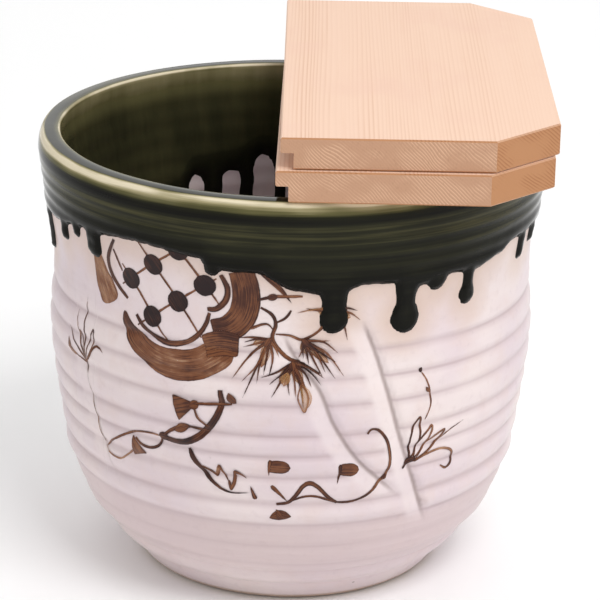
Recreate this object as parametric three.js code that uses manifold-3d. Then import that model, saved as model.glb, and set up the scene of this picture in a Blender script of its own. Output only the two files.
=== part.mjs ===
import * as THREE from 'three';
import { mergeVertices } from 'three/addons/utils/BufferGeometryUtils.js';
import Module from 'manifold-3d';

// Wide-mouthed stoneware jar for fresh water with a lid split into two loose boards.
// Millimetres, +Z up. The origin is the middle of the flat base, -Y is the front,
// and the joint between the two lid boards runs front to back, along Y.

// Clay jar, outside: the heights stack up from the base, the radii belong to their tops
const footHeight = 18.5;
const haunchHeight = 11.5;
const bowlHeight = 20;
const flankHeight = 62;
const waistHeight = 33;
const collarHeight = 46;
const lipHeight = 7.3;
const footRadius = 65.6;
const footTopRadius = 80;
const haunchRadius = 90.3;
const bowlRadius = 98.8;
const bellyRadius = 107.7;
const waistRadius = 105.7;
const lipRadius = 111.8;
const rimOuterRadius = 108.8;
const baseEdgeRound = 1.5;

// Clay jar, inside
const rimWidth = 4.5;
const wallThickness = 7.5;
const floorThickness = 10;
const floorCornerRadius = 16;
const innerLipDepth = 9;

// Soft rings that the fingers leave on the wheel: their widths stack up from above the foot
const ringStart = 8.5;
const ringWidths = [11.5, 11.7, 10.8, 13.3, 10.2, 9.8, 14.1, 11.5, 11.8];
const ringGroove = 0.5;
const ringSwell = 0.3;

// Long slanting marks of a tool drawn down the soft wall: angle and height pairs, from the top
const toolMarkWidth = 4.4;
const toolMarkDepth = 1.1;
const toolLift = 0.2;
const toolMarks = [
  [[16.9, 147], [20.3, 131.5], [23.1, 115], [27.2, 91.5], [31, 74], [38.9, 42]],
  [[-0.7, 141.5], [1.1, 132.5], [7.5, 115.5], [10.9, 100], [16.6, 83], [22.6, 71.5], [28.8, 61]],
  [[-56, 118], [-53.5, 98], [-48.5, 66]],
];

// Green glaze coat over the rim
const glazeGap = 0.3;
const glazeThickness = 0.9;
const glazeLapOutside = 33.5;
const glazeLapInside = 44;
const glazeEdgeBevel = 2;
const glazeRoot = 1;

// Lid boards, both alike
const boardLength = 229.7;
const boardWidth = 115.3;
const boardThickness = 13.35;
const cornerCut = 27.7;
const tongueLength = 5.36;
const tongueClearance = 0.5;
const boardEdgeEase = 0.6;
const seatGap = 0.3;

// Where the two boards lie on the jar: their joint edges' front corners and their turn
const lowerTongueX = -5.8;
const lowerFrontY = -112.6;
const upperShiftX = 1.85;
const upperShiftY = 1.6;
const upperTurn = THREE.MathUtils.degToRad(0.48);

// Fineness of the facets
const jarSides = 54;
const glazeSides = 45;

const footTop = footHeight;
const haunchTop = footTop + haunchHeight;
const bowlTop = haunchTop + bowlHeight;
const bellyTop = bowlTop + flankHeight;
const waistTop = bellyTop + waistHeight;
const lipTop = waistTop + collarHeight;
const clayTop = lipTop + lipHeight;
const mouthRadius = rimOuterRadius - rimWidth;
const coatDepth = glazeGap + glazeThickness;
const rimTop = clayTop + coatDepth;

const clayMaterial = new THREE.MeshStandardMaterial({ color: 0xe6dadb, roughness: 0.25, metalness: 0 });
const glazeMaterial = new THREE.MeshStandardMaterial({ color: 0x333826, roughness: 0.15, metalness: 0 });
const woodMaterial = new THREE.MeshStandardMaterial({ color: 0xf0cdb2, roughness: 0.7, metalness: 0 });

// Height of a 2D curve's point as a function, by walking the curve in small steps
function radiusByHeight(curve, samples = 400) {
  const points = curve.getPoints(samples);
  return (height) => {
    const above = points.findIndex((p) => p.y >= height);
    if (above <= 0) return points[above === 0 ? 0 : points.length - 1].x;
    const [a, b] = [points[above - 1], points[above]];
    return THREE.MathUtils.mapLinear(height, a.y, b.y, a.x, b.x);
  };
}

const outerCurve = new THREE.SplineCurve([
  new THREE.Vector2(footTopRadius, footTop),
  new THREE.Vector2(haunchRadius, haunchTop),
  new THREE.Vector2(bowlRadius, bowlTop),
  new THREE.Vector2(bellyRadius, bellyTop),
  new THREE.Vector2(waistRadius, waistTop),
  new THREE.Vector2(lipRadius, lipTop),
]);
const outerRadiusAt = radiusByHeight(outerCurve);

const innerCurve = new THREE.SplineCurve([
  new THREE.Vector2(haunchRadius - wallThickness, Math.max(haunchTop, floorThickness + floorCornerRadius)),
  new THREE.Vector2(bowlRadius - wallThickness, bowlTop),
  new THREE.Vector2(bellyRadius - wallThickness, bellyTop),
  new THREE.Vector2(waistRadius - wallThickness, waistTop),
  new THREE.Vector2((mouthRadius + waistRadius - wallThickness) / 2, (waistTop + clayTop) / 2),
  new THREE.Vector2(mouthRadius, clayTop - innerLipDepth),
]);
const innerRadiusAt = radiusByHeight(innerCurve);

// Rows of the ringed wall, from the foot to the waist: a groove between rings, a swell across each
function ringedWall() {
  const row = (height, relief) => new THREE.Vector2(outerRadiusAt(height) + relief, height);
  const rows = [row(footTop, 0)];
  let groove = footTop + ringStart;
  rows.push(row((footTop + groove) / 2, 0));
  for (const width of ringWidths) {
    if (groove + width >= waistTop) break;
    rows.push(row(groove, -ringGroove), row(groove + width / 2, ringSwell));
    groove += width;
  }
  rows.push(row(groove, -ringGroove), row((groove + waistTop) / 2, 0), row(waistTop, 0));
  return rows;
}

// The lip's points, from the widest place over the flat rim to the mouth
function lipProfile() {
  const roll = new THREE.EllipseCurve(
    rimOuterRadius, lipTop, lipRadius - rimOuterRadius, lipHeight, 0, Math.PI / 2,
  ).getPoints(3);
  return [...roll, new THREE.Vector2(mouthRadius, clayTop)];
}

// Half of the jar's section, from the middle of the base round to the middle of the floor
function jarProfile() {
  const profile = [
    new THREE.Vector2(0, 0),
    new THREE.Vector2(footRadius - baseEdgeRound, 0),
    new THREE.Vector2(footRadius, baseEdgeRound),
  ];
  const footSteps = 3;
  for (let i = 1; i < footSteps; i++) {
    const rise = i / footSteps;
    const flare = Math.pow(rise, 1.25);
    profile.push(new THREE.Vector2(
      THREE.MathUtils.lerp(footRadius, footTopRadius, flare),
      THREE.MathUtils.lerp(baseEdgeRound, footTop, rise),
    ));
  }
  profile.push(...ringedWall());
  const collarSteps = 4;
  for (let i = 1; i < collarSteps; i++) {
    const height = THREE.MathUtils.lerp(waistTop, lipTop, i / collarSteps);
    profile.push(new THREE.Vector2(outerRadiusAt(height), height));
  }
  profile.push(...lipProfile());
  const innerTop = clayTop - innerLipDepth;
  const innerBottom = Math.max(haunchTop, floorThickness + floorCornerRadius);
  const innerSteps = 12;
  for (let i = 0; i <= innerSteps; i++) {
    const height = THREE.MathUtils.lerp(innerTop, innerBottom, i / innerSteps);
    profile.push(new THREE.Vector2(innerRadiusAt(height), height));
  }
  const cornerX = haunchRadius - wallThickness - floorCornerRadius;
  const cornerY = floorThickness + floorCornerRadius;
  const corner = new THREE.EllipseCurve(
    cornerX, cornerY, floorCornerRadius, floorCornerRadius, 0, -Math.PI / 2, true,
  ).getPoints(4);
  profile.push(...(innerBottom > cornerY + 0.01 ? corner : corner.slice(1)));
  profile.push(new THREE.Vector2(0, floorThickness));
  return profile;
}

// LatheGeometry turns about Y, so its axis is laid onto Z, facing outwards
function uprightLathe(profile, sides) {
  const geometry = new THREE.LatheGeometry(profile, sides);
  geometry.rotateX(Math.PI / 2);
  return geometry;
}

// The coat's lower edge: height lost below the lap at angles counted from the front,
// towards +X, and the runs that hang from it
const edgeSag = [
  [-160, 2], [-140, 7], [-115, 1], [-90, 0], [-71, -2], [-52, -7], [-35, -9], [-20, -7], [-8, -3],
  [4, 6], [12, 7], [20, 3], [31, 6], [45, 5], [60, -1], [90, 2], [110, 7], [130, -2], [155, 5], [180, -1],
].map(([degrees, drop]) => ({ at: THREE.MathUtils.degToRad(degrees), drop }));
const outerRuns = [
  [-148, 2.4, 18], [-128, 2.1, 13], [-104, 1.8, 11], [-79, 1.9, 18], [-64, 1.9, 8], [-50, 2.8, 11],
  [10.4, 2.7, 16], [27.4, 3.1, 20], [35.3, 2.6, 6], [45, 2.0, 15], [67, 1.6, 12], [75, 1.5, 8],
  [112, 2.4, 15], [150, 2.3, 15],
].map(toRun);
const innerRuns = [
  [-166, 3.2, 12], [-157, 2.6, 15], [-140, 4, 9], [-80, 3.5, 12], [20, 4, 14], [95, 3.4, 10], [176, 3, 16],
].map(toRun);

// One run: its angle, half its width in degrees, and how far it hangs down
function toRun([degrees, halfDegrees, length]) {
  return {
    at: THREE.MathUtils.degToRad(degrees),
    half: THREE.MathUtils.degToRad(halfDegrees),
    length,
  };
}

function angleBetween(a, b) {
  return Math.atan2(Math.sin(a - b), Math.cos(a - b));
}

function sagAt(angle) {
  const count = edgeSag.length;
  for (let i = 0; i < count; i++) {
    const [a, b] = [edgeSag[i], edgeSag[(i + 1) % count]];
    const span = (b.at - a.at + 2 * Math.PI) % (2 * Math.PI);
    const along = (angle - a.at + 4 * Math.PI) % (2 * Math.PI);
    if (along <= span) return THREE.MathUtils.lerp(a.drop, b.drop, THREE.MathUtils.smoothstep(along / span, 0, 1));
  }
  return 0;
}

// A run hangs with straight sides and a rounded end
function runDrop(angle, runs) {
  return runs.reduce((most, run) => {
    const across = Math.abs(angleBetween(angle, run.at)) / run.half;
    return across >= 1 ? most : Math.max(most, run.length * Math.sqrt(1 - across ** 3));
  }, 0);
}

// Column angles: an even fan, with extra columns across each run, in rising order
function glazeAngles() {
  const fan = Array.from({ length: glazeSides }, (_, i) => -Math.PI + (2 * Math.PI * i) / glazeSides);
  const across = [-1, -0.9, -0.5, 0.5, 0.9, 1];
  const extra = [...outerRuns, ...innerRuns].flatMap((run) => across.map((f) => run.at + f * run.half));
  const wrapped = extra.map((angle) => angleBetween(angle, 0));
  const spacing = THREE.MathUtils.degToRad(0.5);
  const kept = [];
  for (const angle of [...wrapped, ...fan]) {
    if (kept.every((other) => Math.abs(angleBetween(angle, other)) > spacing)) kept.push(angle);
  }
  return kept.sort((a, b) => a - b);
}

// The clay's profile under the coat at one angle, from the outer edge to the inner edge
function coatedProfile(angle) {
  const outerEdge = clayTop - glazeLapOutside - sagAt(angle) - runDrop(angle, outerRuns);
  const innerEdge = clayTop - glazeLapInside - runDrop(angle, innerRuns);
  const outerRows = 4;
  const innerRows = 4;
  const points = [new THREE.Vector2(outerRadiusAt(outerEdge), outerEdge)];
  for (let i = 0; i < outerRows; i++) {
    const height = THREE.MathUtils.lerp(outerEdge + glazeEdgeBevel, lipTop, i / outerRows);
    points.push(new THREE.Vector2(outerRadiusAt(height), height));
  }
  points.push(...lipProfile());
  for (let i = 0; i < innerRows; i++) {
    const start = clayTop - innerLipDepth;
    const height = THREE.MathUtils.lerp(start, innerEdge + glazeEdgeBevel, i / (innerRows - 1));
    points.push(new THREE.Vector2(innerRadiusAt(height), height));
  }
  points.push(new THREE.Vector2(innerRadiusAt(innerEdge), innerEdge));
  return points;
}

// A profile moved off itself to its left by a distance, with mitred corners
function offsetProfile(points, distanceAt) {
  return points.map((point, i) => {
    const before = points[Math.max(i - 1, 0)];
    const after = points[Math.min(i + 1, points.length - 1)];
    const into = (i === 0 ? after.clone().sub(point) : point.clone().sub(before)).normalize();
    const away = (i === points.length - 1 ? point.clone().sub(before) : after.clone().sub(point)).normalize();
    const normal = new THREE.Vector2(into.y + away.y, -into.x - away.x).normalize();
    const mitre = Math.min(1 / Math.max(normal.dot(new THREE.Vector2(into.y, -into.x)), 0.5), 1.5);
    return point.clone().addScaledVector(normal, distanceAt(i) * mitre);
  });
}

const wasm = await Module();
wasm.setup();

function toSolid(geometry) {
  const bare = geometry.clone();
  bare.deleteAttribute('normal');
  bare.deleteAttribute('uv');
  const merged = mergeVertices(bare, 1e-4);
  return new wasm.Manifold(new wasm.Mesh({
    numProp: 3,
    vertProperties: new Float32Array(merged.attributes.position.array),
    triVerts: new Uint32Array(merged.index.array),
  }));
}

function toGeometry(solid) {
  const mesh = solid.getMesh();
  const geometry = new THREE.BufferGeometry();
  geometry.setAttribute('position', new THREE.Float32BufferAttribute(mesh.vertProperties, 3));
  geometry.setIndex(new THREE.Uint32BufferAttribute(mesh.triVerts, 1));
  geometry.computeVertexNormals();
  return geometry;
}

// A round-nosed tool drawn along one mark, lifted clear of the wall at both ends
function toolStroke(mark) {
  const noseRadius = (toolMarkWidth ** 2 / 4 + toolMarkDepth ** 2) / (2 * toolMarkDepth);
  const points = mark.map(([degrees, height], i) => {
    const atEnd = i === 0 || i === mark.length - 1;
    const lift = noseRadius - (atEnd ? -ringSwell - toolLift : toolMarkDepth);
    const radius = outerRadiusAt(height) + lift;
    const angle = THREE.MathUtils.degToRad(degrees);
    return new THREE.Vector3(radius * Math.sin(angle), -radius * Math.cos(angle), height);
  });
  const nose = new THREE.Shape(new THREE.EllipseCurve(0, 0, noseRadius, noseRadius).getPoints(10).slice(0, -1));
  return new THREE.ExtrudeGeometry(nose, {
    steps: 4 * (mark.length - 1),
    extrudePath: new THREE.CatmullRomCurve3(points),
    bevelEnabled: false,
  });
}

function jarBody() {
  const turned = toSolid(uprightLathe(jarProfile(), jarSides));
  const marked = toolMarks.reduce((solid, mark) => solid.subtract(toSolid(toolStroke(mark))), turned);
  return new THREE.Mesh(toGeometry(marked), clayMaterial);
}

// The coat as a closed skin rooted just inside the clay, before the clay is cut from it
function coatSkin() {
  const angles = glazeAngles();
  const positions = [];
  let rows = 0;
  for (const angle of angles) {
    const clay = coatedProfile(angle);
    rows = clay.length;
    const edge = (i) => i === 0 || i === rows - 1;
    const root = offsetProfile(clay, () => -glazeRoot);
    const face = offsetProfile(clay, (i) => glazeGap + glazeThickness * (edge(i) ? 0.5 : 1));
    for (const point of [...face, ...root.reverse()]) {
      positions.push(point.x * Math.sin(angle), -point.x * Math.cos(angle), point.y);
    }
  }
  const around = 2 * rows;
  const indices = [];
  for (let column = 0; column < angles.length; column++) {
    const next = (column + 1) % angles.length;
    for (let k = 0; k < around; k++) {
      const a = column * around + k;
      const b = column * around + ((k + 1) % around);
      const c = next * around + ((k + 1) % around);
      const d = next * around + k;
      indices.push(a, d, c, a, c, b);
    }
  }
  const geometry = new THREE.BufferGeometry();
  geometry.setAttribute('position', new THREE.Float32BufferAttribute(positions, 3));
  geometry.setIndex(indices);
  return geometry;
}

function greenGlaze() {
  const swollenJar = uprightLathe(offsetProfile(jarProfile(), () => glazeGap), jarSides);
  const coat = toSolid(coatSkin()).subtract(toSolid(swollenJar));
  return new THREE.Mesh(toGeometry(coat), glazeMaterial);
}

// The board seen from above, tongue tip on x = 0, with eased edges all round
function boardPlan() {
  const outline = new THREE.Shape([
    new THREE.Vector2(0, 0),
    new THREE.Vector2(boardWidth - cornerCut, 0),
    new THREE.Vector2(boardWidth, cornerCut),
    new THREE.Vector2(boardWidth, boardLength - cornerCut),
    new THREE.Vector2(boardWidth - cornerCut, boardLength),
    new THREE.Vector2(0, boardLength),
  ]);
  const geometry = new THREE.ExtrudeGeometry(outline, {
    depth: boardThickness - 2 * boardEdgeEase,
    bevelEnabled: true,
    bevelThickness: boardEdgeEase,
    bevelSize: boardEdgeEase,
    bevelOffset: -boardEdgeEase,
    bevelSegments: 1,
  });
  return geometry.translate(0, 0, boardEdgeEase);
}

// The board's end view: the joint edge is rebated so that the upper half is a tongue
function boardSection() {
  const tongueBottom = (boardThickness + tongueClearance) / 2;
  const overshoot = 5;
  const section = new THREE.Shape([
    new THREE.Vector2(tongueLength + boardEdgeEase, -overshoot),
    new THREE.Vector2(boardWidth + overshoot, -overshoot),
    new THREE.Vector2(boardWidth + overshoot, boardThickness + overshoot),
    new THREE.Vector2(-overshoot, boardThickness + overshoot),
    new THREE.Vector2(-overshoot, tongueBottom + boardEdgeEase),
    new THREE.Vector2(0, tongueBottom + boardEdgeEase),
    new THREE.Vector2(boardEdgeEase, tongueBottom),
    new THREE.Vector2(tongueLength, tongueBottom),
    new THREE.Vector2(tongueLength, boardEdgeEase),
    new THREE.Vector2(tongueLength + boardEdgeEase, 0),
  ]);
  const geometry = new THREE.ExtrudeGeometry(section, { depth: boardLength + 2 * overshoot, bevelEnabled: false });
  geometry.rotateX(Math.PI / 2);
  return geometry.translate(0, boardLength + overshoot, 0);
}

function lidBoard() {
  const board = toSolid(boardPlan()).intersect(toSolid(boardSection()));
  return new THREE.Mesh(toGeometry(board), woodMaterial);
}

const jar = jarBody();
jar.name = 'jar_body';

const glaze = greenGlaze();
glaze.name = 'green_glaze';

const lowerHalf = lidBoard();
lowerHalf.name = 'lid_half_lower';
lowerHalf.position.set(lowerTongueX, lowerFrontY, rimTop + seatGap);

const upperHalf = lidBoard();
upperHalf.name = 'lid_half_upper';
upperHalf.position.copy(lowerHalf.position);
upperHalf.position.add(new THREE.Vector3(upperShiftX, upperShiftY, boardThickness + seatGap));
upperHalf.rotation.z = upperTurn;

const freshWaterJar = new THREE.Group();
freshWaterJar.add(jar, glaze, lowerHalf, upperHalf);

export default freshWaterJar;
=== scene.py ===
"""A wide-mouthed stoneware jar for fresh water, with its split wooden lid stacked on one side of the rim.

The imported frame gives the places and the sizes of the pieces. The jar's skin, its running green glaze, the
iron-brown brushwork and the finishes are made here. Lengths are in metres, heights are above the base, and
angles are counted in degrees from the front towards +X.
"""

import logging
import math
from dataclasses import dataclass, field
from enum import Enum

import bmesh
import bpy
from mathutils import Matrix, Vector, noise


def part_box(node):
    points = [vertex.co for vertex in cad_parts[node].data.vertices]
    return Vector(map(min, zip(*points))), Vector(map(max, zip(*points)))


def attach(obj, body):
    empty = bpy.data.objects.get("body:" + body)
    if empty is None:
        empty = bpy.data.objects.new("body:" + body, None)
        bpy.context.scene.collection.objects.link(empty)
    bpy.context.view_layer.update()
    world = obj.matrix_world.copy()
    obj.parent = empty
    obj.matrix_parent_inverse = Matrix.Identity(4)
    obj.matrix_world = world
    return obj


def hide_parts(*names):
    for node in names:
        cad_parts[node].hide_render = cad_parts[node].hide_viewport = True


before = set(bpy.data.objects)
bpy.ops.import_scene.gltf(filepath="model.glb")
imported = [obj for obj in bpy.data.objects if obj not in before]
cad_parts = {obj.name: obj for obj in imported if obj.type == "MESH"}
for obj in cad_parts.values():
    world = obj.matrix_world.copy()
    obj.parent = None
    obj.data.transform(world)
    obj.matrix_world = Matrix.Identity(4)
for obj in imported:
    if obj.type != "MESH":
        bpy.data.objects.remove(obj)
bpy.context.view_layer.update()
LOG = logging.getLogger("fresh_water_jar")
MM = 0.001
# The distances that a mesh stores for its finish stop at this many metres
FAR_ASIDE = 20.0 * MM
# Millimetres that one degree takes up on the unrolled front of the jar
DEGREE_WIDTH = 1.85
# Columns of faces round the jar, shared by the skin and the coat
COLUMNS = 420


class Side(Enum):
    """The wall of the jar that a point lies on."""

    OUTSIDE = 0
    INSIDE = 1


class Nib(Enum):
    """How a brush stroke's width runs from its start to its end."""

    EVEN = "even"
    NEEDLE = "needle"
    LEAF = "leaf"
    WEDGE = "wedge"
    DOT = "dot"
    BLUNT = "blunt"
    SWEEP = "sweep"
    FLAG = "flag"


def blend_between(edge0: float, edge1: float, value: float) -> float:
    """Smooth step of a value between two edges.

    Args:
        edge0: where the step starts at 0.
        edge1: where the step ends at 1.
        value: the value to place.

    Returns:
        A number from 0 to 1.
    """
    t = min(max((value - edge0) / (edge1 - edge0), 0.0), 1.0)
    return t * t * (3.0 - 2.0 * t)


def smooth_max(a: float, b: float, width: float) -> float:
    """The larger of two numbers, with a fillet where they meet.

    Args:
        a: first number.
        b: second number.
        width: size of the fillet.

    Returns:
        The rounded maximum.
    """
    h = max(width - abs(a - b), 0.0) / width
    return max(a, b) + h * h * width * 0.25


def turn_between(a: float, b: float) -> float:
    """Signed angle in degrees from b to a, within half a turn."""
    return (a - b + 180.0) % 360.0 - 180.0


def held(distance: float) -> float:
    """A distance kept within FAR_ASIDE on both sides of 0."""
    return min(max(distance, -FAR_ASIDE), FAR_ASIDE)


def wall_noise(angle: float, height: float, across: float, up: float, seed: float) -> float:
    """Smooth noise over the wall that closes on itself round the jar.

    Args:
        angle: degrees from the front.
        height: height above the base.
        across: how often it changes round the jar.
        up: how often it changes for each millimetre of height.
        seed: picks one pattern.

    Returns:
        A number from -1 to 1.
    """
    turn = math.radians(angle)
    return noise.noise(Vector((across * math.sin(turn) + seed, across * math.cos(turn), up * height / MM)))


def curve_through(stations: tuple[tuple[float, float], ...], height: float) -> float:
    """A smooth curve through values that are given at rising heights.

    Args:
        stations: pairs of height and value, lowest first.
        height: where to read the curve.

    Returns:
        The value there.
    """
    last = len(stations) - 2
    index = 0
    while index < last and stations[index + 1][0] < height:
        index += 1
    (z1, r1), (z2, r2) = stations[index], stations[index + 1]
    z0, r0 = stations[index - 1] if index else (2 * z1 - z2, 2 * r1 - r2)
    z3, r3 = stations[index + 2] if index < last else (2 * z2 - z1, 2 * r2 - r1)
    t = min(max((height - z1) / (z2 - z1), 0.0), 1.0)
    m1 = (r2 - r0) / (z2 - z0) * (z2 - z1)
    m2 = (r3 - r1) / (z3 - z1) * (z2 - z1)
    return (
        (2 * t**3 - 3 * t**2 + 1) * r1
        + (t**3 - 2 * t**2 + t) * m1
        + (3 * t**2 - 2 * t**3) * r2
        + (t**3 - t**2) * m2
    )


@dataclass(frozen=True)
class Run:
    """One run of glaze that hangs below the coat's edge."""

    angle: float
    half_width: float
    tip: float
    bead: float = 0.0


@dataclass(frozen=True)
class ToolMark:
    """A long slanting mark of a tool drawn down the soft wall: height and angle pairs, from its foot up."""

    path: tuple[tuple[float, float], ...]
    strength: float = 1.0
    foot_fade: float = 14.0 * MM
    head_fade: float = 10.0 * MM

    def reading(self, angle: float, height: float, radius: float) -> tuple[float, float]:
        """Where a point of the wall lies beside the mark.

        Args:
            angle: degrees from the front.
            height: height on the outside.
            radius: radius of the wall there.

        Returns:
            Metres to the right of the mark's line, and how fully it is cut there, from 0 to 1.
        """
        low, high = self.path[0][0], self.path[-1][0]
        if not low <= height <= high or abs(turn_between(angle, self.path[0][1])) > 90.0:
            return FAR_ASIDE, 0.0
        line = curve_through(self.path, height)
        slope = math.radians(curve_through(self.path, height + MM) - line) * radius / MM
        across = math.radians(turn_between(angle, line)) * radius / math.hypot(1.0, slope)
        fade = blend_between(low, low + self.foot_fade, height)
        fade *= 1.0 - blend_between(high - self.head_fade, high, height)
        return across, fade * self.strength


@dataclass(frozen=True)
class GlazeEdge:
    """The lower edge of the green coat on one side of the wall."""

    heights: tuple[tuple[float, float], ...]
    runs: tuple[Run, ...]
    fillet: float = 3.0 * MM
    waver: float = 0.5 * MM
    waist: float = 0.16
    nearby: float = 5.0

    def level(self, angle: float) -> float:
        """Height of the edge between its runs.

        Args:
            angle: degrees from the front.

        Returns:
            The height in metres.
        """
        count = len(self.heights)
        for index in range(count):
            start, low = self.heights[index]
            end, high = self.heights[(index + 1) % count]
            span = (end - start) % 360.0
            along = (angle - start) % 360.0
            if along <= span:
                return low + (high - low) * blend_between(0.0, 1.0, along / span)
        return self.heights[0][1]

    def cover(self, angle: float, height: float, radius: float) -> float:
        """How far inside the coat a point of the wall lies.

        Args:
            angle: degrees from the front.
            height: height of the point.
            radius: radius of the wall there.

        Returns:
            Metres, above 0 inside the coat and below 0 outside it.
        """
        level = self.level(angle)
        inside = height - level
        for run in self.runs:
            across = abs(math.radians(turn_between(angle, run.angle)) * radius)
            if across > self.nearby * run.half_width:
                continue
            width = 2.0 * run.half_width
            bottom = run.tip + max(run.half_width, run.bead)
            waist = self.waist * blend_between(bottom, bottom + width, height) if run.bead else 0.0
            waist *= 1.0 - blend_between(level - width, level, height)
            reach = run.half_width * (1.0 - waist) - math.hypot(across, max(bottom - height, 0.0))
            if run.bead:
                reach = smooth_max(reach, run.bead - math.hypot(across, height - bottom), self.fillet)
            reach -= max(height - level, 0.0)
            inside = smooth_max(inside, reach, self.fillet)
        return inside + self.waver * wall_noise(angle, height, 38.0, 0.15, 3.0)


def inner_runs(count: int = 32, first: float = -136.0, span: float = 321.0) -> tuple[Run, ...]:
    """The runs inside the jar: four measured ones at the back, and a close row round the rest.

    Args:
        count: how many runs the row has.
        first: angle of its first run in degrees.
        span: the angle that the row takes up.

    Returns:
        The runs.
    """
    runs = [
        Run(-146.0, 4.0 * MM, 110 * MM), Run(-156.3, 4.5 * MM, 104 * MM),
        Run(-166.2, 3.0 * MM, 98 * MM), Run(-175.6, 2.3 * MM, 112 * MM),
    ]
    for index in range(count):
        angle = first + (index + 0.10 * math.sin(2.7 * index)) * span / count
        half_width = 3.7 + 0.7 * math.sin(1.9 * index + 1.6)
        tip = 104.0 + 9.0 * math.sin(2.3 * index) + 5.0 * math.sin(0.7 * index)
        runs.append(Run(angle, half_width * MM, tip * MM))
    return tuple(runs)


@dataclass(frozen=True)
class WallPoint:
    """What the outside wall is like at one place."""

    radius: float
    ring: float
    asides: tuple[float, ...]


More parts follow.
